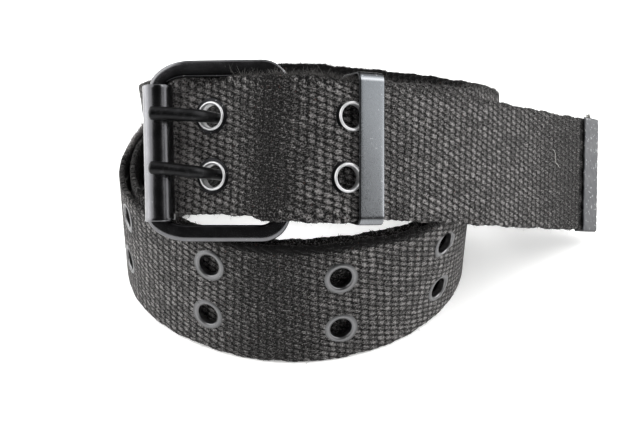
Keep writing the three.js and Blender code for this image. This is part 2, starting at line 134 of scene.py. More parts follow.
def naturalSpline(rows, step):
    # Cubic pieces with matching bends, zero at both ends; the bends solve one band matrix
    knots = np.concatenate([[0], np.cumsum(np.linalg.norm(np.diff(rows[:, :3], axis=0), axis=1))])
    h = np.diff(knots)
    n = len(rows)
    band = np.eye(n)
    known = np.zeros_like(rows)
    i = np.arange(1, n - 1)
    band[i, i - 1], band[i, i], band[i, i + 1] = h[:-1], 2 * (h[:-1] + h[1:]), h[1:]
    slopes = np.diff(rows, axis=0) / h[:, None]
    known[1:-1] = 6 * np.diff(slopes, axis=0)
    bends = np.linalg.solve(band, known)
    t = np.arange(0, knots[-1], step)
    k = np.clip(np.searchsorted(knots, t, side="right") - 1, 0, n - 2)
    u, hk = (t - knots[k])[:, None], h[k][:, None]
    start = slopes[k] - hk * (2 * bends[k] + bends[k + 1]) / 6
    return rows[k] + start * u + bends[k] * u ** 2 / 2 + (bends[k + 1] - bends[k]) * u ** 3 / (6 * hk)


def unit(v):
    # Each vector over its own length
    return v / np.linalg.norm(v, axis=-1, keepdims=True)


def strapTable():
    # Middle line, direction along, direction across the width and direction out of the face
    fine = naturalSpline(routeRows(), strap["tableStep"])
    along = unit(np.gradient(fine[:, :3], axis=0))
    wide = np.hstack([fine[:, 3:], np.ones((len(fine), 1))])
    wide = unit(wide - along * (wide * along).sum(1, keepdims=True))
    out = unit(np.cross(along, wide))
    low = fine[:, :3].copy()
    low[:, 2] = np.maximum(low[:, 2], np.abs(out[:, 2]) * strap["thickness"] / 2)
    middle = low + wide * strap["width"] / 2 + placeInFrame
    run = np.concatenate([[0], np.cumsum(np.linalg.norm(np.diff(middle, axis=0), axis=1))])
    return {"run": run, "middle": middle, "along": along, "wide": wide, "out": out}


route = strapTable()
strapLength = route["run"][-1]
print("strap route", round(strapLength, 1), "mm")


def strapFrame(run):
    # The table read off at any distances along the strap
    def read(name):
        # Straight between the two nearest rows, each of the three numbers by itself
        return np.stack([np.interp(run, route["run"], route[name][:, k]) for k in range(3)], -1)

    return read("middle"), unit(read("along")), unit(read("wide")), unit(read("out"))


def onStrap(run, across, lift):
    # Middle line plus across along the width plus lift out of the face
    middle, _, wide, out = strapFrame(run)
    return middle + wide * across[..., None] + out * lift[..., None]


# Mesh helpers

def addMesh(name, points, faces, finish, replaced=(), uv=None, attributes=None):
    # points in millimetres, faces as an array of quads or triangles, uv one pair a face corner
    mesh = bpy.data.meshes.new(name)
    faces = np.asarray(faces, dtype=np.int32)
    mesh.vertices.add(len(points))
    mesh.vertices.foreach_set("co", (np.asarray(points) * mm).astype(np.float32).ravel())
    mesh.loops.add(faces.size)
    mesh.loops.foreach_set("vertex_index", faces.ravel())
    mesh.polygons.add(len(faces))
    mesh.polygons.foreach_set("loop_start", np.arange(len(faces), dtype=np.int32) * faces.shape[1])
    if uv is not None:
        layer = mesh.uv_layers.new(name="cloth")
        layer.data.foreach_set("uv", np.asarray(uv, np.float32).ravel())
    for key, values in (attributes or {}).items():
        layer = mesh.attributes.new(key, "FLOAT", "POINT")
        layer.data.foreach_set("value", np.asarray(values, np.float32))
    mesh.update(calc_edges=True)
    mesh.validate()
    mesh.polygons.foreach_set("use_smooth", np.ones(len(mesh.polygons), bool))
    piece = bpy.data.objects.new(name, mesh)
    bpy.context.collection.objects.link(piece)
    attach(piece, "root")
    if replaced:
        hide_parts(*replaced)
    mesh.materials.append(finishes[finish])


def gridFaces(rows, columns, closeRows=False, closeColumns=False):
    # Quads of a grid of points, wrapping round where asked
    i = np.arange(rows if closeRows else rows - 1)
    j = np.arange(columns if closeColumns else columns - 1)
    i, j = np.meshgrid(i, j, indexing="ij")
    a, b = i * columns + j, i * columns + (j + 1) % columns
    c, d = ((i + 1) % rows) * columns + (j + 1) % columns, ((i + 1) % rows) * columns + j
    return np.stack([a, d, c, b], -1).reshape(-1, 4)


def sweep(path, sections, wideways, highways):
    # A closed profile (u, v) placed at each point of a path: point + wideways u + highways v
    return path[:, None] + wideways[:, None] * sections[..., :1] + highways[:, None] * sections[..., 1:]


def smoothLine(points, count):
    # Points spread evenly along a cubic through the given ones, whose knots lie as far apart as
    # the points do, to the power 0.7
    points = np.array(points, float)
    knots = np.concatenate([[0], np.cumsum(np.linalg.norm(np.diff(points, axis=0), axis=1) ** 0.7)])
    slopes = np.gradient(points, knots, axis=0)
    t = np.linspace(0, knots[-1], 6 * count)
    k = np.clip(np.searchsorted(knots, t, side="right") - 1, 0, len(points) - 2)
    h = (knots[k + 1] - knots[k])[:, None]
    u = (t[:, None] - knots[k][:, None]) / h
    line = (
        (2 * u ** 3 - 3 * u ** 2 + 1) * points[k] + (u ** 3 - 2 * u ** 2 + u) * h * slopes[k]
        + (3 * u ** 2 - 2 * u ** 3) * points[k + 1] + (u ** 3 - u ** 2) * h * slopes[k + 1]
    )
    run = np.concatenate([[0], np.cumsum(np.linalg.norm(np.diff(line, axis=0), axis=1))])
    even = np.linspace(0, run[-1], count)
    return np.stack([np.interp(even, run, line[:, i]) for i in range(3)], -1)


# Shader helpers

class Wire:
    # A socket for Python arithmetic: each operator adds one Math node
    def __init__(self, maker, socket):
        self.maker = maker
        self.socket = socket

    def math(self, operation, *values):
        return self.maker.math(operation, self, *values)

    def __add__(self, other):
        return self.math("ADD", other)

    def __sub__(self, other):
        return self.math("SUBTRACT", other)

    def __rsub__(self, other):
        return self.maker.math("SUBTRACT", other, self)

    def __mul__(self, other):
        return self.math("MULTIPLY", other)

    def __truediv__(self, other):
        return self.math("DIVIDE", other)

    def __rtruediv__(self, other):
        return self.maker.math("DIVIDE", other, self)

    def __pow__(self, other):
        return self.math("POWER", other)

    def __rpow__(self, other):
        return self.maker.math("POWER", other, self)

    __radd__ = __add__
    __rmul__ = __mul__


class Maker:
    # Makes the nodes of one material
    def __init__(self, name):
        self.material = bpy.data.materials.new(name)
        self.material.use_nodes = True
        self.tree = self.material.node_tree
        self.tree.nodes.clear()

    def node(self, kind, settings=None, inputs=None, output=0):
        # Settings come first, then a link or a value for each named socket
        made = self.tree.nodes.new(kind)
        for key, value in (settings or {}).items():
            if key == "stops":
                self.setStops(made.color_ramp, value)
            else:
                setattr(made, key, value)
        for key, value in (inputs or {}).items():
            socket = made.inputs[key]
            if isinstance(value, Wire):
                self.tree.links.new(value.socket, socket)
            else:
                socket.default_value = value
        return Wire(self, made.outputs[output]) if made.outputs else None

    def setStops(self, ramp, stops):
        # Each stop is its place and its grey
        while len(ramp.elements) > 1:
            ramp.elements.remove(ramp.elements[-1])
        ramp.elements[0].position = stops[0][0]
        for place, _ in stops[1:]:
            ramp.elements.new(place)
        for element, (_, shade) in zip(ramp.elements, stops):
            element.color = rgb(shade, shade, shade)

    def math(self, operation, *values):
        # One Math node on wires and numbers
        return self.node("ShaderNodeMath", {"operation": operation}, dict(enumerate(values)))

    def vector(self, operation, *values):
        # One Vector Math node on wires and triples
        return self.node("ShaderNodeVectorMath", {"operation": operation}, dict(enumerate(values)))

    def part(self, vector, index):
        # One of the three numbers of a vector
        return self.node("ShaderNodeSeparateXYZ", None, {0: vector}, output=index)

    def mix(self, factor, first, second):
        # The first colour where the factor is 0, the second where it is 1
        inputs = {0: factor, 6: first, 7: second}
        return self.node("ShaderNodeMix", {"data_type": "RGBA"}, inputs, output=2)

    def noise(self, place, scale, detail, rough=0.5, output=0):
        # Output 0 is a number, output 1 three of them
        inputs = {"Vector": place, "Scale": scale, "Detail": detail, "Roughness": rough}
        return self.node("ShaderNodeTexNoise", None, inputs, output)

    def ramp(self, value, stops):
        # Straight between the stops, level outside them
        return self.node("ShaderNodeValToRGB", {"stops": stops}, {0: value})

    def attribute(self, name):
        # A number that the mesh carries at its points
        return self.node("ShaderNodeAttribute", {"attribute_name": name}, output=2)

    def objectPlace(self):
        # The point's own place, in metres
        return self.node("ShaderNodeTexCoord", output=3)

    def bump(self, height, strength, distance):
        # A normal tilted by the height, which the distance scales, in metres
        inputs = {"Height": height, "Strength": strength, "Distance": distance}
        return self.node("ShaderNodeBump", None, inputs)

    def finish(self, inputs):
        # The shader, its output and the finished material
        shader = self.node("ShaderNodeBsdfPrincipled", None, inputs)
        self.node("ShaderNodeOutputMaterial", None, {"Surface": shader})
        return self.material


def rgb(r, g, b):
    # A colour and its alpha of 1
    return (r, g, b, 1)


def grey(tone, blue=1.0):
    # An even grey, its blue a little stronger where the metal is cold
    return rgb(tone, tone, tone * blue)


# Canvas: a staggered weave on the cloth map, whose two numbers are millimetres along and across.
# The strap's back lies backShift further across on the map. A noise is its scale, its detail and,
# where it isn't 0.5, its roughness

backShift = 100

canvas = {
    "alongPitch": 4.8,
    "acrossPitch": 1.76,
    "blobAlong": 1.28,
    "blobAcross": 0.86,
    "slant": 0.27,
    "wobble": {"noise": (0.14, 3.5), "reach": (1.6, 1.1, 0)},
    "ragged": {"noise": (1.3, 3.0), "reach": (0.9, 0.6, 0)},
    # The gaps are painted dark as painted shade and the crowns pale as painted highlights
    "gapShadeColour": rgb(0.0022, 0.0021, 0.0021),
    "yarnColour": rgb(0.022, 0.0212, 0.021),
    "yarnHighlight": rgb(0.3, 0.288, 0.283),
    "gapShadeStops": [(0.0, 0.0), (0.4, 1.0)],
    "yarnHighlightStops": [(0.15, 0.0), (0.7, 0.3), (1.1, 0.65), (1.7, 1.0)],
    # inside: the back face painted darker as painted shade
    "inside": {"colour": grey(0.004), "share": 0.8, "half": 18, "rise": 1.2},
    "fibres": {"stretch": (1.0, 3.0, 1), "noise": (1.0, 4.0, 0.7), "share": 3.0},
    "fray": {"noise": (2.0, 3.0, 0.8), "share": 3.6},
    "worn": {"noise": (0.16, 3.0, 0.6), "share": 0.3},
    "napShade": 0.12,
    "napFlattens": 0.75,
    # paintedShadeWeight: how strongly the pinch attribute paints shade, or painted light where it is below
    # zero
    "paintedShadeWeight": 1.8,
    "flecks": {
        "noise": (2.6, 1.0), "stops": [(0.745, 0.0), (0.79, 1.0)], "share": 0.4,
        "colour": rgb(0.5, 0.48, 0.46),
    },
    "rust": {
        "noise": (0.9, 2.0), "stops": [(0.70, 0.0), (0.76, 1.0)], "share": 0.35,
        "colour": rgb(0.16, 0.075, 0.06),
    },
    "relief": 0.0007,
    "sheen": {"share": 0.14, "rough": 0.45, "colour": rgb(0.62, 0.61, 0.6)},
}


def weaveBlobs(m, u, v, moveAlong, moveAcross):
    # One blob a cell: height falls with the square of the distance from its middle, tone is random
    cellAlong = (u - moveAlong) / canvas["alongPitch"]
    nearAlong = cellAlong.math("ROUND")
    fromMiddle = (cellAlong - nearAlong) * canvas["alongPitch"]
    cellAcross = (v + fromMiddle * canvas["slant"] - moveAcross) / canvas["acrossPitch"]
    nearAcross = cellAcross.math("ROUND")
    aside = (cellAcross - nearAcross) * canvas["acrossPitch"]
    reach = (fromMiddle * fromMiddle) * (1 / canvas["blobAlong"] ** 2)
    height = 1 - reach - (aside * aside) * (1 / canvas["blobAcross"] ** 2)
    cell = m.node("ShaderNodeCombineXYZ", None, {0: nearAlong, 1: nearAcross, 2: moveAlong})
    tone = m.node("ShaderNodeTexWhiteNoise", None, {"Vector": cell})
    return height, tone


def canvasMaterial():
    # The higher of two staggered sets of blobs gives relief and colour, under streaks of fibre; the colour
    # is a painted highlight on each blob's crown and painted shade in the gaps between
    m = Maker("canvas")
    place = m.node("ShaderNodeUVMap", {"uv_map": "cloth"})
    moved = place
    for values in (canvas["wobble"], canvas["ragged"]):
        push = m.noise(place, *values["noise"], output=1)
        moved = m.vector("MULTIPLY_ADD", push, values["reach"], moved)
    u, v = m.part(moved, 0), m.part(moved, 1)
    first, firstTone = weaveBlobs(m, u, v, 0.0, 0.0)
    second, secondTone = weaveBlobs(m, u, v, canvas["alongPitch"] / 2, canvas["acrossPitch"] / 2)
    onSecond = second.math("GREATER_THAN", first)
    height = first.math("MAXIMUM", second).math("MAXIMUM", 0.0) ** 0.7
    tone = firstTone * (1 - onSecond) + secondTone * onSecond
    streaks = m.vector("MULTIPLY", moved, canvas["fibres"]["stretch"])
    fibres = m.noise(streaks, *canvas["fibres"]["noise"])
    fray, worn = m.noise(place, *canvas["fray"]["noise"]), m.noise(place, *canvas["worn"]["noise"])
    nap, pinch = m.attribute("nap"), m.attribute("pinch")
    height = height * (1 - nap * canvas["napFlattens"])
    crown = height * (0.55 + tone * 0.5) + (fibres - 0.5) * canvas["fibres"]["share"]
    crown = crown + (fray - 0.5) * (canvas["fray"]["share"] + nap) + (worn - 0.5) * canvas["worn"]["share"]
    # The pinch attribute paints shade in the cap's hollows and along stretches of the top rim, and paints
    # light where it is below zero
    crown = crown - nap * canvas["napShade"] - pinch * canvas["paintedShadeWeight"]
    # Painted highlight on the high crowns and painted shade in the low gaps, on top of each blob's random
    # tone
    yarn = m.mix(m.ramp(crown, canvas["yarnHighlightStops"]), canvas["yarnColour"], canvas["yarnHighlight"])
    colour = m.mix(m.ramp(crown, canvas["gapShadeStops"]), canvas["gapShadeColour"], yarn)
    inside, sheen = canvas["inside"], canvas["sheen"]
    # The back face is painted darker towards black, as painted shade
    fromBack = (m.part(place, 1) - backShift).math("ABSOLUTE")
    inner = m.ramp((inside["half"] - fromBack) * inside["rise"], [(0.0, 0.0), (1.0, 1.0)])
    colour = m.mix(inner * inside["share"], colour, inside["colour"])
    for spots in (canvas["flecks"], canvas["rust"]):
        shown = m.ramp(m.noise(place, *spots["noise"]), spots["stops"])
        colour = m.mix(shown * spots["share"], colour, spots["colour"])
    relief = height * 0.8 + fibres * 0.45 + fray * 0.4
    return m.finish({
        "Base Color": colour, "Roughness": 0.95, "Specular IOR Level": 0.15,
        "Normal": m.bump(relief, 1.0, canvas["relief"]), "Sheen Weight": sheen["share"],
        "Sheen Roughness": sheen["rough"], "Sheen Tint": sheen["colour"],
    })


# Metals. Where a mesh's dull is 1 the plating is painted dark as painted shade, and where its shine is 1
# it is painted bright as a painted highlight.
# rough is the roughness of the smooth and of the worn spots, specks the scale, rarity and strength
# of bright dots, brushed how fine the grain is along x, y and z

nickels = {
    "frame": {"tone": 0.115, "rough": (0.14, 0.24)},
    "roller": {"tone": 0.19, "rough": (0.2, 0.28)},
}

# The colour of the painted shade on the black nickel
nickelPaintedShade = {"colour": grey(0.01, 1.1), "share": 0.85}
nickelDust = {"colour": grey(0.5), "share": 0.3}

prongBlack = {
    "colour": rgb(0.026, 0.026, 0.027), "darker": rgb(0.012, 0.012, 0.0125), "rough": (0.36, 0.5),
    "worn": {"colour": rgb(0.14, 0.14, 0.145), "share": 0.25},
}

steels = {
    "keeper": {
        "colour": rgb(0.088, 0.095, 0.102), "darker": rgb(0.076, 0.082, 0.088), "metallic": 1.0,
        "brushed": (2400, 2400, 500), "rough": (0.22, 0.32), "specks": (1500, 0.7, 0.2),
    },
    "tip": {
        "colour": rgb(0.104, 0.105, 0.108), "darker": rgb(0.045, 0.046, 0.05), "metallic": 1.0,
        "brushed": (500, 500, 330), "rough": (0.36, 0.6), "specks": (950, 0.64, 0.26),
    },
    "eyelet": {
        "colour": rgb(0.72, 0.72, 0.73), "darker": rgb(0.5, 0.5, 0.51), "metallic": 0.62,
        "brushed": (900, 900, 900), "rough": (0.26, 0.38), "specks": (1500, 0.7, 0.2),
    },
}

# The colours of the steels' painted shade and painted highlight
steelPaintedShade = {"colour": rgb(0.014, 0.014, 0.015), "share": 0.95}
steelPaintedHighlight = rgb(0.55, 0.56, 0.58)
steelSpeck = rgb(0.6, 0.61, 0.62)


def blackNickelMaterial(name, values):
    # Dark mirror plating with a faint orange peel, dust specks, cloudy wear and the mesh's painted shade
    m = Maker(name)
    place = m.objectPlace()
    tone, (smooth, rubbed) = values["tone"], values["rough"]
    peel = m.noise(place, 700.0, 2.0)
    specks = m.ramp(m.noise(place, 2600.0, 1.0, 0.4), [(0.74, 0.0), (0.78, 1.0)])
    wear = m.noise(place, 260.0, 4.0, 0.6)
    worn = rgb(tone * 1.25, tone * 1.25, tone * 1.3)
    plating = m.mix(m.ramp(wear, [(0.35, 0.0), (0.75, 1.0)]), grey(tone, 1.05), worn)
    # Painted shade where the mesh's attribute asks for it
    plating = m.mix(m.attribute("dull") * nickelPaintedShade["share"], plating, nickelPaintedShade["colour"])
    return m.finish({
        "Base Color": m.mix(specks * nickelDust["share"], plating, nickelDust["colour"]),
        "Metallic": 1.0,
        "Roughness": m.ramp(wear, [(0.3, smooth), (0.8, rubbed)]),
        "Normal": m.bump(peel, 0.2, 0.00004),
    })


def prongMaterial():
    # Satin black with fine rubbed lines
    m = Maker("prong_black")
    place = m.objectPlace()
    lines = m.noise(place, 1400.0, 4.0, 0.6)
    patches = m.ramp(m.noise(place, 420.0, 3.0, 0.6), [(0.55, 0.0), (0.8, 1.0)])
    (smooth, rubbed), worn = prongBlack["rough"], prongBlack["worn"]
    tone = m.mix(lines, prongBlack["darker"], prongBlack["colour"])
    return m.finish({
        "Base Color": m.mix(patches * worn["share"], tone, worn["colour"]),
        "Metallic": 1.0,
        "Roughness": m.ramp(lines, [(0.3, smooth), (0.8, rubbed)]),
        "Normal": m.bump(lines, 0.3, 0.00005),
    })


def steelMaterial(name, values):
    # Plated steel: cloudy tone, fine grain, brushing that is stretched along one axis, and the mesh's
    # painted shade and painted highlights
    m = Maker(name)
    place = m.objectPlace()
    smooth, rubbed = values["rough"]
    scale, above, strength = values["specks"]
    cloud = m.noise(place, 160.0, 4.0, 0.6)
    grain = m.noise(m.vector("MULTIPLY", place, values["brushed"]), 1.0, 3.0, 0.65)
    bright = m.ramp(m.noise(place, scale, 1.0), [(above, 0.0), (above + 0.06, 1.0)])
    clouded = m.ramp(cloud * 0.6 + grain * 0.4, [(0.3, 0.0), (0.7, 1.0)])
    # Painted shade and painted highlight from the mesh's attributes
    dull = m.attribute("dull")
    tone = m.mix(clouded, values["darker"], values["colour"])
    tone = m.mix(dull * steelPaintedShade["share"], tone, steelPaintedShade["colour"])
    tone = m.mix(m.attribute("shine"), tone, steelPaintedHighlight)
    return m.finish({
        "Base Color": m.mix(bright * strength, tone, steelSpeck),
        "Metallic": m.ramp(dull, [(0.5, values["metallic"]), (0.7, 1.0)]),
        "Roughness": m.ramp(cloud * 0.4 + grain * 0.6, [(0.3, smooth), (0.7, rubbed)]),
        "Normal": m.bump(grain, smooth * 0.3, 0.00003),
    })


def fibreMaterial(name, dark, pale):
    # Cotton hairs, each a little different in tone
    m = Maker(name)
    tone = m.mix(m.attribute("tone"), dark, pale)
    return m.finish({"Base Color": tone, "Roughness": 0.9, "Specular IOR Level": 0.2})


finishes = {
    "canvas": canvasMaterial(),
    "frameNickel": blackNickelMaterial("frame_nickel", nickels["frame"]),
    "rollerNickel": blackNickelMaterial("roller_nickel", nickels["roller"]),
    "prong": prongMaterial(),
    "keeperSteel": steelMaterial("keeper_steel", steels["keeper"]),
    "tipSteel": steelMaterial("tip_steel", steels["tip"]),
    "eyeletMetal": steelMaterial("eyelet_metal", steels["eyelet"]),
    "fibre": fibreMaterial("loose_fibre", rgb(0.012, 0.0115, 0.0115), rgb(0.13, 0.125, 0.12)),
    "paleFibre": fibreMaterial("pale_fibre", rgb(0.3, 0.3, 0.28), rgb(0.75, 0.74, 0.7)),
}
print("materials made")


def hump(x, at, wide):
    # A bell: 1 at the place, e to the minus square of the distance over the width
    return np.exp(-(((x - at) / wide) ** 2))


# Eyelet places: distance from the tip, shift across and lean of the pair. The pairs that show stand
# where the photograph has them, and the hidden ones carry on at the pitch of their neighbours

pairSpread = 16.5
shownFront = [(114.8, 0.7, -1.2), (154.7, 0.2, 1.2)]
shownLoop = [
    (719.5, 1.2, -0.5), (753.8, -0.3, -0.4), (792.4, 1.2, -0.3), (829.0, 2.2, -1.4), (869.0, 0, 0),
]
eyeletTable = (
    shownFront
    + [(154.7 + 39.6 * i, 0, 0) for i in range(1, 6)]
    + [(718.7 - 39.8 * i, 0, 0) for i in range(8, 0, -1)]
    + shownLoop
)
pairs = np.repeat(np.array(eyeletTable, float), 2, axis=0)
pairSide = np.tile([1, -1], len(eyeletTable))
seatRuns = strapLength - pairs[:, 0]
eyeletRuns = seatRuns - pairSide * pairs[:, 2] / 2
eyeletAcross = pairs[:, 1] + pairSide * pairSpread / 2


# Webbing. A stretch runs between two distances from the tip, and fades over its soft length

webbing = {
    "alongStep": 0.7,
    "faceRows": 22,
    "edgeRows": 5,
    "holeRadius": 3.75,
    "holeReach": 6,
    "fabricEnd": 1.5,
    "loopPitch": 2.4,
    "scallop": 0.22,
    "waver": 0.12,
    "raisedEdge": {"from": 116, "to": 178, "soft": 8, "by": 0.9},
    "foldEdge": {"from": 1036, "to": 1071, "soft": 14, "by": -1.1},
    "loweredEdge": {"from": 112, "to": 142, "soft": 3.5, "by": 1.0},
    # Stretches of the top rim painted darker as painted shade, or paler as painted light
    "paintedShadeRim": {"from": 722, "to": 792, "soft": 12, "by": 0.75},
    "paintedShadeRibbon": {"from": 905, "to": 1023, "soft": 12, "by": 0.8},
    "paintedLightRim": {"from": 850, "to": 908, "soft": 12, "by": 0.7},
    "rim": {"wide": 1.9, "soft": 0.7},
    # A band across next to the roller, painted paler as painted light
    "paintedLightBand": {"fromTip": 165, "reach": 6, "by": 0.24},
    "slotRuns": (9.5, 30),
    "slotHighs": (8.2, -7.7),
    "slotHalf": 2.2,
    "bites": (-15.6, -11.2, -5.6, 0.2, 6.3, 12.6, 16.6),
    "bite": {"fromTip": 10.1, "along": 1.7, "across": 1.6, "pinch": 0.3},
    "brushed": [
        (136.5, 7, 1.0), (12, 22, 0.75), (773, 12, 0.7), (100, 4, 0.25), (170, 5, 0.35), (660, 10, 0.5),
        (420, 14, 0.6),
    ],
    "topNap": {"wide": 1.6, "soft": 1.2, "by": 0.8},
}


def waver(x, seed, lengths, strength):
    # A sum of sines of the given wavelengths with random phases
    phases = np.random.default_rng(seed).uniform(0, 2 * np.pi, len(lengths))
    return strength * sum(np.sin(2 * np.pi * x / wave + p) for wave, p in zip(lengths, phases))


def stretchShare(s, name):
    # The stretch's value times two ramps: up from its near end and down to its far end
    values = webbing[name]
    fromTip = strapLength - s
    rise = np.clip((fromTip - values["from"]) / values["soft"], 0, 1)
    return values["by"] * rise * np.clip((values["to"] - fromTip) / values["soft"], 0, 1)


def edgeWaver(s, side):
    # Loops of weft along each edge, on top of a slow waver; the two edges are out of step
    phase = np.where(side > 0, 0.0, 1.1)
    loops = np.abs(np.sin(np.pi * s / webbing["loopPitch"] + phase)) * webbing["scallop"]
    loops = loops + (stretchShare(s, "raisedEdge") + stretchShare(s, "foldEdge")) * (side > 0)
    loops = loops + stretchShare(s, "loweredEdge") * (side < 0)
    return loops - webbing["scallop"] * 0.6 + waver(s + 31 * phase, 3, [7.3, 11.9, 23], webbing["waver"])


def tipBite(s, v):
    # Hollows where the cap's edge pinches the cloth: one minus the square of the distance at each. The
    # canvas also paints them darker, as painted shade
    dip = np.zeros(s.shape)
    values = webbing["bite"]
    along = (s - strapLength + values["fromTip"]) / values["along"]
    for at in webbing["bites"]:
        dip = np.maximum(dip, 1 - along ** 2 - ((v - at) / values["across"]) ** 2)
    return np.clip(dip, 0, 1)


def fromTopEdge(v, values):
    # 1 at the strap's top edge, fading to 0 at the given width below it
    return np.clip((v - strap["width"] / 2 + values["wide"]) / values["soft"], 0, 1)


def brushedNap(s, v):
    # How far the weave is hidden by nap: soft bands at given distances from the tip, and the top edge
    nap = np.zeros(s.shape)
    for fromTip, reach, strength in webbing["brushed"]:
        nap = np.maximum(nap, strength * hump(strapLength - s, fromTip, reach) ** 0.8)
    return np.maximum(nap, webbing["topNap"]["by"] * fromTopEdge(v, webbing["topNap"]))


def paintedShadeAndLight(s, v):
    # Painted shade above zero and painted light below it: stretches of the top rim painted darker or
    # paler, and one band across next to the roller painted paler
    edge = stretchShare(s, "paintedShadeRim") + stretchShare(s, "paintedShadeRibbon") - stretchShare(s, "paintedLightRim")
    band = webbing["paintedLightBand"]
    lightBand = hump(strapLength - s, band["fromTip"], band["reach"])
    return edge * fromTopEdge(v, webbing["rim"]) - band["by"] * lightBand


def webbingSection():
    # Across and lift of one ring: the front, a half circle, the back and a half circle
    half, halfThick = strap["width"] / 2, strap["thickness"] / 2
    across = np.linspace(-(half - halfThick), half - halfThick, webbing["faceRows"])
    bend = np.linspace(0, np.pi, webbing["edgeRows"] + 2)[1:-1]
    edgeOut, edgeLift = halfThick * np.sin(bend), halfThick * np.cos(bend)
    ringAcross = np.concatenate([across, across[-1] + edgeOut, across[::-1], across[0] - edgeOut])
    ringLift = np.concatenate([0 * across + halfThick, edgeLift, 0 * across - halfThick, -edgeLift])
    return ringAcross, ringLift


def openHoles(run, s, v, onFace):
    # A point inside an eyelet's hole moves out along its radius to the rim. Points in holes and
    # slots are marked
    inside = np.zeros(s.shape, bool)
    for holeRun, holeAcross in zip(eyeletRuns, eyeletAcross):
        near = np.abs(run - holeRun) < webbing["holeReach"]
        ds, dv = s[near] - holeRun, v[near] - holeAcross
        r = np.hypot(ds, dv) + 1e-9
        within = (r < webbing["holeRadius"]) & onFace[near]
        scale = np.where(within, webbing["holeRadius"] / r, 1)
        s[near] = holeRun + ds * scale
        v[near] = holeAcross + dv * scale
        inside[near] |= within
    slotStart, slotEnd = webbing["slotRuns"]
    for high in webbing["slotHighs"]:
        inside |= (s > slotStart) & (s < slotEnd) & (np.abs(v - high) < webbing["slotHalf"]) & onFace
    return inside


def webbingFaces(inside):
    # Faces with a corner that isn't marked are kept. A wall joins the front and the back wherever a
    # kept face meets a removed one, and a cap closes each end
    rings, columns = inside.shape
    count = webbing["faceRows"]
    faces = gridFaces(rings, columns, closeColumns=True)
    kept = ~inside.ravel()[faces].all(1)
    gone = faces[~kept]
    front = np.arange(count)
    pair = np.arange(columns)
    pair[front] = 2 * count + webbing["edgeRows"] - 1 - front
    edges = np.concatenate([gone[:, [0, 1]], gone[:, [1, 2]], gone[:, [2, 3]], gone[:, [3, 0]]])
    edges = edges[(edges % columns < count).all(1)]
    key = np.sort(edges, 1) @ np.array([rings * columns, 1])
    _, first, times = np.unique(key, return_index=True, return_counts=True)
    rim = edges[first[times == 1]]
    behind = (rim // columns) * columns + pair[rim % columns]
    walls = np.stack([rim[:, 1], rim[:, 0], behind[:, 0], behind[:, 1]], 1)
    nearCap = np.stack([front[:-1], front[1:], pair[front[1:]], pair[front[:-1]]], 1)
    farCap = nearCap[:, ::-1] + (rings - 1) * columns
    return np.concatenate([faces[kept], walls, nearCap, farCap])


def clothMap(s, v, lift, faces):
    # Millimetres along and across at each face corner; a face over the edge stays on the front's side
    cloth = np.stack([s, np.where(lift >= 0, v, v + backShift)], -1).reshape(-1, 2)
    uv = cloth[faces]
    wrapped = np.ptp(uv[..., 1], axis=1) > backShift / 2
    across = uv[wrapped, :, 1]
    uv[wrapped, :, 1] = np.where(across > backShift / 2, across - backShift, across)
    return uv


def makeWebbing():
    # A rounded flat section carried along the route
    rings = int((strapLength - webbing["fabricEnd"]) / webbing["alongStep"])
    run = np.linspace(0, strapLength - webbing["fabricEnd"], rings)
    ringAcross, ringLift = webbingSection()
    s, v = np.meshgrid(run, ringAcross, indexing="ij")
    lift = np.broadcast_to(ringLift, s.shape).copy()
    onFace = np.abs(np.abs(lift) - strap["thickness"] / 2) < 1e-6
    edge = edgeWaver(s, v) * np.sign(v) * (np.abs(v) > strap["width"] / 2 - 1)
    inside = openHoles(run, s, v, onFace)
    bite = tipBite(s, v)
    points = onStrap(s, v + edge, lift * (1 - webbing["bite"]["pinch"] * bite))
    points[..., 2] = np.maximum(points[..., 2], 0)
    faces = webbingFaces(inside)
    # pinch carries the cap's hollows and the painted shade and light of the rim and band
    addMesh(
        "webbing_canvas", points.reshape(-1, 3), faces, "canvas", ["webbing"],
        uv=clothMap(s, v, lift, faces),
        attributes={"pinch": (bite + paintedShadeAndLight(s, v)).ravel(), "nap": brushedNap(s, v).ravel()},
    )


makeWebbing()
print("webbing made")


# Eyelets: the profile is radius, height where the rim is rolled and height where it is flat. Painted shade
# darkens the rolled rings' outer flange, and darkens the flat rings by radius, less at the radii where a
# painted highlight stays

eyelets = {
    "around": 32,
    "rolledPairs": 2,
    "seat": 5.2,
    "profile": [
        (3.2, 0.3, 0.3), (3.15, 0.9, 0.7), (3.22, 1.25, 0.95), (3.4, 1.55, 1.12), (3.65, 1.66, 1.2),
        (3.9, 1.58, 1.23), (4.0, 1.45, 1.23), (4.1, 1.28, 1.22), (4.2, 1.22, 1.2), (4.75, 1.19, 1.08),
        (4.97, 1.13, 0.98), (4.9, 0.91, 0.91), (4.6, 0.9, 0.9), (3.6, 0.9, 0.9),
    ],
    "rolledPaintedShade": {"beyond": 4.05, "by": 1.05},
    "flatPaintedShade": [(3.2, 0.71), (3.5, 0.93), (3.8, 0.76), (4.2, 0.84), (4.6, 0.8), (4.9, 0.98)],
}


def eyeletSeats():
    # Each eyelet's middle and its three directions, from the strap a little before and after it
    before, after = strapFrame(seatRuns - eyelets["seat"]), strapFrame(seatRuns + eyelets["seat"])
    along = unit(after[0] - before[0])
    wide = before[2] + after[2]
    wide = unit(wide - along * (wide * along).sum(1, keepdims=True))
    middle = (before[0] + after[0]) / 2 + wide * eyeletAcross[:, None]
    middle = middle + along * (-pairSide * pairs[:, 2] / 2)[:, None]
    return middle, along, wide, np.cross(along, wide)


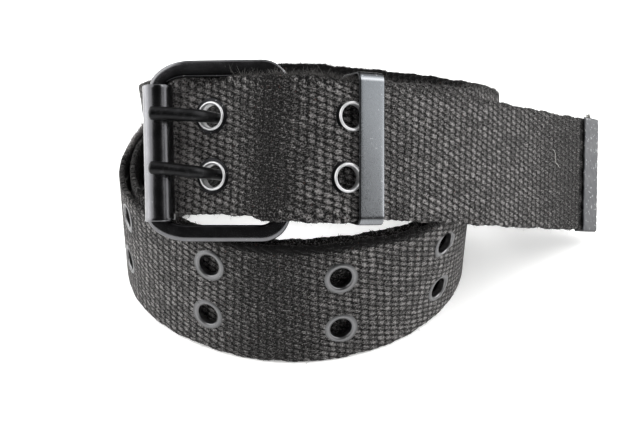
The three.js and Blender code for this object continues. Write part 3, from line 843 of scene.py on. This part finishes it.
def makeEyelets():
    # One profile turned round each hole and repeated on the strap's back
    radius, rolled, flat = np.array(eyelets["profile"]).T
    isRolled = (np.arange(len(eyeletRuns)) < 2 * eyelets["rolledPairs"])[:, None]
    height = np.where(isRolled, rolled, flat)
    radius = np.concatenate([radius, radius[::-1]])
    height = np.hstack([height, -height[:, ::-1]])
    turn = np.linspace(0, 2 * np.pi, eyelets["around"], endpoint=False)
    middle, along, wide, out = eyeletSeats()
    around = along[:, None] * np.cos(turn)[:, None] + wide[:, None] * np.sin(turn)[:, None]
    points = middle[:, None, None] + around[:, :, None] * radius[:, None]
    points = points + out[:, None, None] * height[:, None, :, None]
    ring = gridFaces(len(turn), len(radius), closeRows=True, closeColumns=True)
    start = np.arange(len(eyeletRuns))[:, None, None] * len(turn) * len(radius)
    # Painted shade: the rolled rings' flange, and the flat rings by radius
    rolledPaintedShade = (radius > eyelets["rolledPaintedShade"]["beyond"]) * eyelets["rolledPaintedShade"]["by"]
    dull = np.where(isRolled, rolledPaintedShade, np.interp(radius, *np.array(eyelets["flatPaintedShade"]).T))
    dull = np.broadcast_to(dull[:, None], points.shape[:3])
    places = [(i + 1, side) for i in range(len(eyeletTable)) for side in ("upper", "lower")]
    addMesh(
        "eyelet_rings", points.reshape(-1, 3), (ring + start).reshape(-1, 4),
        "eyeletMetal", [f"eyelet_{number:02d}_{side}" for number, side in places],
        attributes={"dull": dull.ravel()},
    )


makeEyelets()
print("eyelets made")


# Buckle: places and sizes in the tipped plane, where the rounded outlines run across and up

buckle = {
    "rollerPlace": (-44.55, 3.3),
    "barAcross": -10.3,
    "middleHigh": 17.15,
    "outerHeight": 49.9,
    "barWidth": 4.7,
    "axleWidth": 3.6,
    "depth": 3.0,
    "outerCorners": {"left": 11, "right": 8, "high": 8},
    "innerCorners": {"left": 6, "right": 3.5, "high": 3},
    "leftFlare": {"top": 0.8, "bottom": 1.7, "from": 17.4, "soft": 1.4, "reach": 14},
    "squareness": 0.42,
    "lowBevel": {"by": 0.4, "up": 20, "across": 60},
    "innerDark": {"from": 0.3, "rise": 2},
}


def inFrame(points):
    # The tipped plane's across, deep and high as the frame's x, y and z
    return raised(points) + placeInFrame


def turnedPoint(x, deep, high, turn, place):
    # x and deep turned about the high axis, then moved to the place
    across = place[0] + x * np.cos(turn) - deep * np.sin(turn)
    return np.stack([across, place[1] + x * np.sin(turn) + deep * np.cos(turn), place[2] + high], -1)


def evenCorners(reach):
    # The same reach to every side
    return {"left": reach, "right": reach, "high": reach}


def roundedEdge(left, right, high, corners, count=14):
    # Four quarter ellipses, each with its own reach across and the same reach up
    quarter = np.linspace(0, np.pi / 2, count)
    x, y = [], []
    for corner in range(4):
        side = 1 if corner in (0, 3) else -1
        up = 1 if corner < 2 else -1
        across = corners["right"] if side > 0 else corners["left"]
        angle = quarter + corner * np.pi / 2
        x.append((right if side > 0 else left) - side * across + across * np.cos(angle))
        y.append(up * (high - corners["high"]) + corners["high"] * np.sin(angle))
    return np.stack([np.concatenate(x), np.concatenate(y)], -1)


def squareRound(count, power, outerPower=None):
    # A rounded square from -1 to 1: cosine and sine raised to a power below one; where the
    # cosine is positive the power may differ from row to row
    turn = np.linspace(0, 2 * np.pi, count, endpoint=False)[None]
    if outerPower is not None:
        power = np.where(np.cos(turn) > 0, np.asarray(outerPower)[:, None], power)
    return tuple(np.sign(wave) * np.abs(wave) ** power for wave in (np.cos(turn), np.sin(turn)))


def ringBetween(outer, inner, section, halfDeep):
    # The section's first number runs from the inner outline to the outer, its second is the depth
    span = (outer - inner)[:, None] / 2
    plan = (outer + inner)[:, None] / 2 + span * section[0][..., None]
    return plan, section[1] * halfDeep + 0 * plan[..., 0]


def endCaps(rings, columns, count):
    # Zips the first and the last ring shut: each of count points joins the one opposite
    i = np.arange(count)
    cap = np.stack([i, i + 1, columns - 2 - i, columns - 1 - i], 1)
    return np.vstack([cap, cap[:, ::-1] + (rings - 1) * columns])


def makeFrame():
    # Two rounded outlines joined by a squarish section with rolled edges; the outer outline flares
    # at the left corners, and the outer edge is rounder along the low bar
    reach = np.hypot(*barsApart)
    half, bar, axle = buckle["outerHeight"] / 2, buckle["barWidth"], buckle["axleWidth"]
    flare, bevel = buckle["leftFlare"], buckle["lowBevel"]
    outer = roundedEdge(-axle / 2, reach + bar / 2, half, buckle["outerCorners"])
    inner = roundedEdge(axle / 2, reach - bar / 2, half - bar, buckle["innerCorners"])
    by = np.where(outer[:, 1] > 0, flare["top"], flare["bottom"])
    by = by * np.clip((np.abs(outer[:, 1]) - flare["from"]) / flare["soft"], 0, 1)
    outer[:, 0] -= by * np.clip(1 - outer[:, 0] / flare["reach"], 0, 1)
    low = np.clip(0.5 - outer[:, 1] / bevel["up"] - outer[:, 0] / bevel["across"], 0, 1)
    section = squareRound(36, buckle["squareness"], buckle["squareness"] + bevel["by"] * low)
    plan, deep = ringBetween(outer, inner, section, buckle["depth"] / 2)
    place = (*buckle["rollerPlace"], buckle["middleHigh"])
    points = turnedPoint(plan[..., 0], deep, plan[..., 1], buckleTurn, place)
    faces = gridFaces(len(outer), plan.shape[1], closeRows=True, closeColumns=True)
    # Painted shade on the section's inner side, which faces the cloth
    dark = buckle["innerDark"]
    paintedInnerShade = np.clip((-section[0] - dark["from"]) * dark["rise"], 0, 1) + 0 * plan[..., 0]
    addMesh(
        "buckle_frame", inFrame(points.reshape(-1, 3)), faces, "frameNickel", ["frame"],
        attributes={"dull": paintedInnerShade.ravel()},
    )


# Roller: the profile is the change of radius and the share of the half height, from one end to the middle.
# paintedBands is how much painted shade darkens the tube's reflections against the cosine of the bearing,
# leaving the left edge clear and a thin line right of the middle lighter

roller = {
    "high": 16.55, "half": 18.8, "radius": 4.15, "bore": 2.8, "boreHigh": 0.97, "lean": 1.2, "around": 96,
    "profile": [(-1.1, 1), (-0.35, 1), (-0.1, 0.994), (0.0, 0.978), (-0.03, 0.94), (-0.06, 0.6)],
    "paintedBands": [(-0.75, 0.0), (-0.4, 0.82), (0.24, 0.82), (0.34, 0.35), (0.44, 0.35), (0.52, 0.86)],
}


def makeRoller():
    # A rolled tube with softened, slightly flared ends, turned about its axis and leaning a little
    change, share = np.array(roller["profile"]).T
    radius = roller["radius"] + np.concatenate([change, change[::-1]])
    high = roller["half"] * np.concatenate([-share, share[::-1]])
    radius = np.concatenate([radius, [roller["bore"]] * 2])
    high = np.concatenate([high, roller["half"] * roller["boreHigh"] * np.array([1, -1])])
    turn = np.linspace(0, 2 * np.pi, roller["around"], endpoint=False)
    x, y = radius[None] * np.cos(turn)[:, None], radius[None] * np.sin(turn)[:, None]
    lean = radians(roller["lean"])
    leanedX = x * np.cos(lean) - high[None] * np.sin(lean)
    leanedHigh = high[None] * np.cos(lean) + x * np.sin(lean)
    points = turnedPoint(leanedX, y, leanedHigh, 0, (*buckle["rollerPlace"], roller["high"]))
    faces = gridFaces(len(turn), len(radius), closeRows=True, closeColumns=True)
    # Painted shade in bands round the tube, over its reflections
    dull = np.interp(np.cos(turn), *np.array(roller["paintedBands"]).T)[:, None] + 0 * x
    addMesh(
        "roller_tube", inFrame(points.reshape(-1, 3)), faces, "rollerNickel", ["roller"],
        attributes={"dull": dull.ravel()},
    )


# Prongs: path as across, deep and how much higher than at the bar. The upper one bends down and the
# lower one up towards the roller

prongs = {
    "upper": {"high": 25.4, "blunt": 1.85, "slim": 1.72, "drop": 0.45, "lift": 0.0},
    "lower": {"high": 9.5, "blunt": 1.75, "slim": 1.68, "drop": -0.45, "lift": 0.3},
    "path": [
        (-45.5, -3.15, 2.2), (-41.5, -2.95, 2.0), (-38, -2.0, 1.7), (-34, -1.1, 1.4), (-31.5, 0.6, 1.25),
        (-29.6, 3.0, 1.1), (-27.7, 5.1, 0.9), (-24.2, 6.3, 0.7), (-19.5, 5.2, 0.3), (-14.1, 1.2, 0),
    ],
    "dropFrom": -29.6,
    "dropOver": 15,
    "liftFrom": -24,
    "stations": 60,
    "waist": (22, 45),
    "tail": (1.3, 1.5),
    "domeLength": 0.5,
    "eyeInner": {"reach": (2.65, 1.8), "corner": 1.1},
    "eyeOuter": {"reach": (4.15, 3.3), "corner": 2.6},
    "eyeHeight": 3.2,
}


def prongShaft(values):
    # A circle carried along the bent path; over the domed tip it shrinks with the sine of an angle
    # and goes on by its cosine
    path = np.array(prongs["path"])
    towards = np.clip((prongs["dropFrom"] - path[:, 0]) / prongs["dropOver"], 0, 1)
    path[:, 2] += values["high"] - values["drop"] * towards
    path[:, 2] += values["lift"] * (path[:, 0] < prongs["liftFrom"])
    count = prongs["stations"]
    line = smoothLine(path, count)
    along = unit(np.gradient(line, axis=0))
    side = unit(np.cross([0, 0, 1.0], along))
    up = np.cross(along, side)
    turn = np.linspace(0, 2 * np.pi, 20, endpoint=False)
    circle = np.stack([np.cos(turn), np.sin(turn)], -1)
    dome = np.linspace(0, np.pi / 2, 8)[:-1]
    sizes = [values["blunt"], values["slim"], *prongs["tail"]]
    thick = np.interp(np.arange(count), [0, *prongs["waist"], count - 1], sizes)
    radius = np.concatenate([np.maximum(np.sin(dome), 0.02) * thick[0], thick])
    forward = np.concatenate([np.cos(dome) * thick[0] * prongs["domeLength"], 0 * thick])

    def withDome(rows):
        # The first row once more for each ring of the dome
        return np.vstack([np.repeat(rows[:1], len(dome), 0), rows])

    path = withDome(line) - withDome(along) * forward[:, None]
    shaft = sweep(path, circle[None] * radius[:, None, None], withDome(side), withDome(up))
    faces = gridFaces(len(path), len(turn), closeColumns=True)
    return shaft.reshape(-1, 3), np.vstack([faces, endCaps(len(path), len(turn), len(turn) // 2 - 1)])


def prongEye(values):
    # Two rounded outlines round the buckle's bar, joined by a squarish section
    outer, inner = (
        roundedEdge(-edge["reach"][0], *edge["reach"], evenCorners(edge["corner"]), 10)
        for edge in (prongs["eyeOuter"], prongs["eyeInner"])
    )
    plan, tall = ringBetween(outer, inner, squareRound(16, 0.5), prongs["eyeHeight"] / 2)
    place = (buckle["barAcross"], 0, values["high"])
    eye = turnedPoint(plan[..., 0], plan[..., 1], tall, buckleTurn, place)
    faces = gridFaces(len(outer), plan.shape[1], closeRows=True, closeColumns=True)[:, ::-1]
    return eye.reshape(-1, 3), faces


def makeProng(name):
    # A round bar along the bent path with a domed tip, and a flat eye round the buckle's bar
    shaft, shaftFaces = prongShaft(prongs[name])
    eye, eyeFaces = prongEye(prongs[name])
    points, faces = inFrame(np.vstack([shaft, eye])), np.vstack([shaftFaces, eyeFaces + len(shaft)])
    addMesh(f"prong_{name}_bar", points, faces, "prong", [f"prong_{name}"])


makeFrame()
makeRoller()
makeProng("upper")
makeProng("lower")
print("buckle made")


# Keeper: its painted shade and painted highlights are placed by height, or by the distance from its middle
# along the strap

keeper = {
    "across": 11.67, "deep": -0.97, "high": 17.4, "turn": 27, "length": 7.6, "height": 41.2,
    "depth": 10.4, "sheet": 0.8, "corner": 1.8, "cornerHigh": 2.6, "squareness": 0.3, "tuck": 1.15,
    "darkTop": {"from": 19.2, "rise": 2, "most": 0.85},
    "darkSide": {"from": 3.3, "rise": 4, "most": 0.9},
    "darkLine": {"at": -18.7, "wide": 0.36},
    "brightLine": {"at": 18.6, "wide": 0.4, "by": 0.36},
    "brightLow": {"by": 0.2, "over": 36},
}


def keeperShades(x, y):
    # How much painted shade: ramps at the top and on the side to the buckle, and one dark line. How much
    # painted highlight: more towards the bottom, and one bright line
    top, side, low = keeper["darkTop"], keeper["darkSide"], keeper["darkLine"]
    dull = np.clip((y - top["from"]) * top["rise"], 0, top["most"]) + hump(y, low["at"], low["wide"])
    dull = np.clip(dull + np.clip((-x - side["from"]) * side["rise"], 0, side["most"]), 0, 1)
    foot, line = keeper["brightLow"], keeper["brightLine"]
    shine = foot["by"] * (0.5 - y / foot["over"]).clip(0, 1)
    shine = shine + line["by"] * hump(y, line["at"], line["wide"])
    return dull, shine * (1 - dull)


def makeKeeper():
    # A rounded rectangle of sheet, its section a thin strip with rounded edges; the low front corner
    # is tucked up
    halfDeep, halfHigh, sheet = keeper["depth"] / 2, keeper["height"] / 2, keeper["sheet"]
    wide, tall = keeper["corner"], keeper["cornerHigh"]
    tight = {"left": wide - sheet, "right": wide - sheet, "high": tall - sheet}
    outer = roundedEdge(-halfDeep, halfDeep, halfHigh, {"left": wide, "right": wide, "high": tall})
    inner = roundedEdge(-halfDeep + sheet, halfDeep - sheet, halfHigh - sheet, tight)
    plan, x = ringBetween(outer, inner, squareRound(28, keeper["squareness"]), keeper["length"] / 2)
    place = (keeper["across"], keeper["deep"], keeper["high"])
    deep, y = plan[..., 0], plan[..., 1]
    tuck = keeper["tuck"] * (y < 0) * np.clip(deep / halfDeep, 0, 1)
    points = turnedPoint(x, deep, y + tuck, radians(keeper["turn"]), place)
    faces = gridFaces(len(outer), plan.shape[1], closeRows=True, closeColumns=True)
    dull, shine = keeperShades(x, y)
    addMesh(
        "keeper_loop", inFrame(points.reshape(-1, 3)), faces, "keeperSteel", ["keeper"],
        attributes={"dull": dull.ravel(), "shine": shine.ravel()},
    )


# Tip: a nose is how far the bend reaches and how far back from the end it starts. Dents are sums
# of sines of these wavelengths, along two slanting ways

tip = {
    "length": 9.6, "height": 38.5, "sheet": 0.6, "gap": 0.2, "rows": 90, "seed": 5,
    "outerNose": (0.9, 0.9), "innerNose": (0.3, 1.2), "roundEnd": 0.8,
    "dent": 0.04, "dentWaves": ([2.3, 3.1, 4.7], [1.9, 2.9, 5.3]),
    "mouthWaver": 0.07, "mouthWaves": [5.1, 9.7, 3.3],
}


def tipStrip(offset, nose):
    # Straight, half an ellipse round the strap's end, and straight back
    bend = np.linspace(-np.pi / 2, np.pi / 2, 14)
    share = np.linspace(0, 1, 12)[:-1]
    reach, back = nose
    x = -tip["length"] + share * (tip["length"] - tip["outerNose"][1])
    straight = np.stack([x, 0 * share - offset], -1)
    curve = np.stack([np.cos(bend) * reach - back, np.sin(bend) * offset], -1)
    return np.vstack([straight, curve, straight[::-1] * [1, -1]])


def makeTip():
    # The same folded path outside and inside, one sheet apart, carried across the strap's width.
    # It thins towards both ends as a quarter circle does, and its outside has hollow dents
    inside = strap["thickness"] / 2 + tip["gap"]
    outer, inner = tipStrip(inside + tip["sheet"], tip["outerNose"]), tipStrip(inside, tip["innerNose"])
    profile = np.vstack([outer, inner[::-1]])
    middle, along, wide, out = (part[0] for part in strapFrame(np.array([strapLength])))
    half = tip["height"] / 2
    high = np.linspace(-half, half, tip["rows"])[:, None]
    nearEnd = np.clip((np.abs(high) - half + tip["roundEnd"]) / tip["roundEnd"], 0, 1)
    rounding = np.sqrt(np.clip(1 - nearEnd ** 2, 0.02, 1))
    x, y = (np.broadcast_to(row, (len(high), len(profile))) for row in profile.T)
    skin = np.concatenate([np.ones(len(outer)), np.zeros(len(inner))])
    firstWaves, secondWaves = tip["dentWaves"]
    dents = waver(x * 1.3 + high, tip["seed"], firstWaves, tip["dent"])
    dents = dents + waver(high * 1.7 - x, tip["seed"] + 1, secondWaves, tip["dent"])
    y = np.sign(y) * (np.abs(y) - skin * (dents.clip(0) + (1 - rounding) * 0.5))
    mouth = waver(high, tip["seed"] + 2, tip["mouthWaves"], tip["mouthWaver"])
    x = x + mouth * np.isclose(x, -tip["length"])
    grid = middle + wide * high[..., None] + along * x[..., None] + out * y[..., None]
    faces = gridFaces(len(high), len(profile), closeColumns=True)
    faces = np.vstack([faces, endCaps(len(high), len(profile), len(outer) - 1)])
    addMesh("tip_cap", grid.reshape(-1, 3), faces, "tipSteel", ["tip"])


makeKeeper()
makeTip()
print("keeper and tip made")


# Fuzz: hairs stand on the edges, more of them on two crests of the top edge, and lie on the faces.
# A crest is two distances from the tip and its share of the hairs, a length the shape and scale of
# its gamma draw and its most

fuzz = {
    "seed": 11, "thick": 0.05,
    "edge": {
        "hairs": 12000, "ends": (3, 11), "inset": 0.25, "spread": 0.75, "upperShare": 0.6,
        "swing": 0.8, "length": (2.2, 0.3, 2.2), "curl": 0.4,
    },
    "crests": {"front": (112, 175, 0.22), "back": (862, 985, 0.11), "longer": 1.25},
    "face": {
        "hairs": 12000, "ends": (40, 12), "inset": 1, "root": 0.88, "tail": 190, "tailShare": 0.45,
        "frontShare": 0.75, "lean": 0.35, "swing": 0.9, "length": (2.0, 0.26, 1.6), "lift": 0.3,
        "thinner": 0.8,
    },
}


def addHairs(name, line, thick, tone, finish):
    # Each hair is three narrowing rings of three points and a sharp end, closed at its root
    source = np.random.default_rng(len(line))
    heading = unit(line[:, -1] - line[:, 0])
    sideways = unit(np.cross(heading, source.normal(0, 1, heading.shape)))
    other = np.cross(heading, sideways)
    turn = np.array([0, 2, 4]) * np.pi / 3
    ring = sideways[:, None] * np.cos(turn)[:, None] + other[:, None] * np.sin(turn)[:, None]
    radius = np.broadcast_to(thick, len(line))[:, None] * np.array([1, 0.9, 0.65])
    rings = line[:, :-1, None] + ring[:, None] * radius[:, :, None, None]
    points = np.concatenate([rings.reshape(len(line), -1, 3), line[:, -1:]], 1)
    points[..., 2] = np.maximum(points[..., 2], 0.02)
    k = np.arange(3)
    after = (k + 1) % 3
    sides = []
    for a in (0, 3):
        sides.append(np.stack([a + k, a + after, a + 3 + after], 1))
        sides.append(np.stack([a + k, a + 3 + after, a + 3 + k], 1))
    sides.append(np.stack([6 + k, 6 + after, 9 + 0 * k], 1))
    sides.append(np.array([[2, 1, 0]]))
    faces = np.concatenate(sides)[None] + np.arange(len(line))[:, None, None] * points.shape[1]
    attributes = {"tone": np.repeat(tone, points.shape[1])}
    addMesh(name, points.reshape(-1, 3), faces.reshape(-1, 3), finish, attributes=attributes)


def bentLines(root, heading, length, curl):
    # Root plus heading times the share of the length, bending off with its square
    share = np.array([0, 0.35, 0.7, 1])[None, :, None]
    return root[:, None] + length[:, None, None] * (heading[:, None] * share + curl[:, None] * share ** 2)


def makeEdgeFuzz(source):
    # Roots stand just inside the wavering edge; a hair points out of it, swung by chance along the
    # strap and out of its face
    values, crests, count = fuzz["edge"], fuzz["crests"], fuzz["edge"]["hairs"]
    run = source.uniform(values["ends"][0], strapLength - values["ends"][1], count)
    chance = source.random(count)
    frontFrom, frontTo, frontShare = crests["front"]
    backFrom, backTo, backShare = crests["back"]
    crest = chance < frontShare + backShare
    onFront, onBack = source.uniform(frontFrom, frontTo, count), source.uniform(backFrom, backTo, count)
    run = np.where(crest, strapLength - np.where(chance < frontShare, onFront, onBack), run)
    side = np.where((source.random(count) < values["upperShare"]) | crest, 1, -1)
    across = side * (strap["width"] / 2 - values["inset"] + edgeWaver(run, side))
    root = onStrap(run, across, source.uniform(-values["spread"], values["spread"], count))
    _, along, wide, out = strapFrame(run)
    swing = source.normal(0, values["swing"], (2, count, 1))
    heading = unit(wide * side[:, None] + along * swing[0] + out * swing[1])
    shape, scale, most = values["length"]
    length = source.gamma(shape, scale, count).clip(0, most) * np.where(crest, crests["longer"], 1)
    lines = bentLines(root, heading, length, source.normal(0, values["curl"], (count, 3)))
    addHairs("edge_fuzz", lines, fuzz["thick"], source.random(count) ** 1.5, "fibre")


def makeFaceFuzz(source):
    # Roots lie on both faces, more on the free end; a hair leans a little out of the face
    values, count = fuzz["face"], fuzz["face"]["hairs"]
    end = strapLength - values["ends"][1]
    run = source.uniform(values["ends"][0], end, count)
    onTail = source.random(count) < values["tailShare"]
    run = np.where(onTail, source.uniform(strapLength - values["tail"], end, count), run)
    reach = strap["width"] / 2 - values["inset"]
    across = source.uniform(-reach, reach, count)
    face = np.where(source.random(count) < values["frontShare"], 1, -1)
    root = onStrap(run, across, face * values["root"])
    _, along, wide, out = strapFrame(run)
    swing = source.normal(0, values["swing"], (2, count, 1))
    heading = unit(out * face[:, None] * values["lean"] + along * swing[0] + wide * swing[1])
    shape, scale, most = values["length"]
    length = source.gamma(shape, scale, count).clip(0, most)
    curl = out * (face * source.uniform(0, values["lift"], count))[:, None]
    lines = bentLines(root, heading, length, curl)
    addHairs("face_fuzz", lines, fuzz["thick"] * values["thinner"], source.random(count) ** 1.5, "fibre")


# Lint: a long pale hair that lies on the free end, a nub of thread over the cap and some short
# bits. The first bits are placed, by distance from the tip and height. thick is the three in turn

lint = {
    "seed": 8,
    "hair": {"fromTip": 28.4, "along": 4.0, "high": 6.8, "fall": 6.2, "wave": 0.5, "points": 25},
    "nub": {
        "fromTip": 4.6, "high": 18.9, "hairs": 40, "spread": 0.4, "deep": 0.25, "swing": 0.2,
        "length": (1.2, 2.6), "curl": 0.15,
    },
    "bits": {"count": 150, "ends": (60, 14), "reach": 17, "length": (2, 0.35), "curl": 0.1},
    "placed": [(764.5, 4.6), (764, 3.9), (763.2, 3.0), (134.5, 11.5)],
    "thick": (0.09, 0.11, 0.06),
    "hairTone": 0.6,
}


def lintHair():
    # A wavy path down the face, cut into overlapping pieces of four points
    values = lint["hair"]
    place = np.linspace(0, 1, values["points"])
    run = strapLength - values["fromTip"] + values["along"] * place + values["wave"] * np.sin(place * 7)
    across = values["high"] - values["fall"] * place + values["wave"] * np.sin(place * 9)
    path = onStrap(run, across, 0 * run + 1.0)
    return np.stack([path[:-3], path[1:-2], path[2:-1], path[3:]], 1)[::2]


def lintNub(source):
    # A tuft that stands up from the top edge at the cap
    values, count = lint["nub"], lint["nub"]["hairs"]
    end = np.full(count, strapLength - values["fromTip"])
    run = end + source.normal(0, values["spread"], count)
    root = onStrap(run, 0 * end + values["high"], source.normal(0, values["deep"], count))
    _, along, wide, out = strapFrame(end)
    swing = source.normal(0, values["swing"], (2, count, 1))
    heading = unit(wide + along * swing[0] + out * swing[1])
    length = source.uniform(*values["length"], count)
    return bentLines(root, heading, length, source.normal(0, values["curl"], (count, 3)))


def lintBits(source):
    # Short threads that lie flat on the front at random places
    values, count = lint["bits"], lint["bits"]["count"]
    run = source.uniform(values["ends"][0], strapLength - values["ends"][1], count)
    across = source.uniform(-values["reach"], values["reach"], count)
    fromTip, high = np.array(lint["placed"]).T
    run[:len(high)], across[:len(high)] = strapLength - fromTip, high
    root = onStrap(run, across, 0 * run + 0.95)
    _, along, wide, out = strapFrame(run)
    swing = source.normal(0, 1, (2, count, 1))
    heading = unit(along * swing[0] + wide * swing[1])
    return bentLines(root, heading, source.gamma(*values["length"], count), out * values["curl"])


def makeLint():
    # All three in one mesh
    source = np.random.default_rng(lint["seed"])
    threads = [lintHair(), lintNub(source), lintBits(source)]
    counts = [len(part) for part in threads]
    tones = [np.full(counts[0], lint["hairTone"]), np.zeros(counts[1]), source.random(counts[2])]
    thick = np.repeat(lint["thick"], counts)
    addHairs("pale_lint", np.concatenate(threads), thick, np.concatenate(tones), "paleFibre")


fuzzSource = np.random.default_rng(fuzz["seed"])
makeEdgeFuzz(fuzzSource)
makeFaceFuzz(fuzzSource)
makeLint()
print("fuzz made")


# Stage: floor, lights and camera. A light's place is its bearing from the camera's side to the
# right, its height angle and its distance; glow is the brightness of its face. The camera has its
# height angle, its focal length and picture width in pixels, and its place in millimetres

stage = {
    "floorReach": 3.0,
    "floorTone": 0.93,
    "floorGlow": 0.33,
    "skyTone": 0.05,
    "lights": {
        "overhead": {"bearing": 180, "rise": 78, "away": 0.95, "size": (1.3, 1.0), "glow": 1.0},
        "left_panel": {"bearing": -93, "rise": 32, "away": 0.78, "size": (1.25, 0.95), "glow": 3.4},
        "right_panel": {"bearing": 97, "rise": 32, "away": 0.78, "size": (1.0, 0.95), "glow": 4.0},
        "right_strip": {"bearing": 45, "rise": 25, "away": 0.8, "size": (0.07, 0.5), "glow": 1.5},
    },
    "camera": {"rise": 33, "focal": 988, "across": 640, "place": (0, -266, 192.7), "sensor": 36},
}


def makeFloor():
    # A wide pale square
    size = stage["floorReach"]
    corners = [(-size, -size, 0), (size, -size, 0), (size, size, 0), (-size, size, 0)]
    mesh = bpy.data.meshes.new("floor")
    mesh.from_pydata(corners, [], [(0, 1, 2, 3)])
    floor = bpy.data.objects.new("floor", mesh)
    bpy.context.collection.objects.link(floor)
    m = Maker("floor_paper")
    cloud = m.noise(m.objectPlace(), 30.0, 3.0)
    tone = stage["floorTone"]
    mesh.materials.append(m.finish({
        "Base Color": m.mix(cloud, grey(tone), rgb(tone + 0.02, tone + 0.02, tone + 0.015)),
        "Roughness": 0.7, "Specular IOR Level": 0.3,
        "Emission Color": rgb(1, 1, 0.99), "Emission Strength": stage["floorGlow"],
    }))


def addLight(name, bearing, rise, away, size, glow):
    # The lamp's power is its brightness times pi times its area
    data = bpy.data.lights.new(name, "AREA")
    data.shape = "RECTANGLE"
    data.size, data.size_y = size
    data.energy = glow * np.pi * size[0] * size[1]
    lamp = bpy.data.objects.new(name, data)
    bearing, rise = radians(bearing), radians(rise)
    heading = Vector((np.sin(bearing) * np.cos(rise), -np.cos(bearing) * np.cos(rise), np.sin(rise)))
    turned = (-heading).to_track_quat("-Z", "Y").to_matrix().to_4x4()
    lamp.matrix_world = Matrix.Translation(heading * away) @ turned
    bpy.context.collection.objects.link(lamp)


def makeLights():
    # A dim even sky and the lamps
    world = bpy.data.worlds.new("studio")
    world.use_nodes = True
    world.node_tree.nodes["Background"].inputs[0].default_value = grey(stage["skyTone"])
    bpy.context.scene.world = world
    bpy.context.scene.view_settings.view_transform = "Standard"
    for name, values in stage["lights"].items():
        addLight(name, **values)


def makeCamera():
    # The photograph's camera; the lens is to the sensor as the focal length is to the picture
    values = stage["camera"]
    data = bpy.data.cameras.new("camera")
    data.sensor_width = values["sensor"]
    data.lens = values["focal"] / values["across"] * values["sensor"]
    data.clip_start = 0.01
    data.clip_end = 20
    camera = bpy.data.objects.new("camera", data)
    camera.location = ((np.array(values["place"]) + placeInFrame) * mm).tolist()
    camera.rotation_euler = (radians(90 - values["rise"]), 0, 0)
    bpy.context.collection.objects.link(camera)
    bpy.context.scene.camera = camera


makeFloor()
makeLights()
makeCamera()
print("stage made")
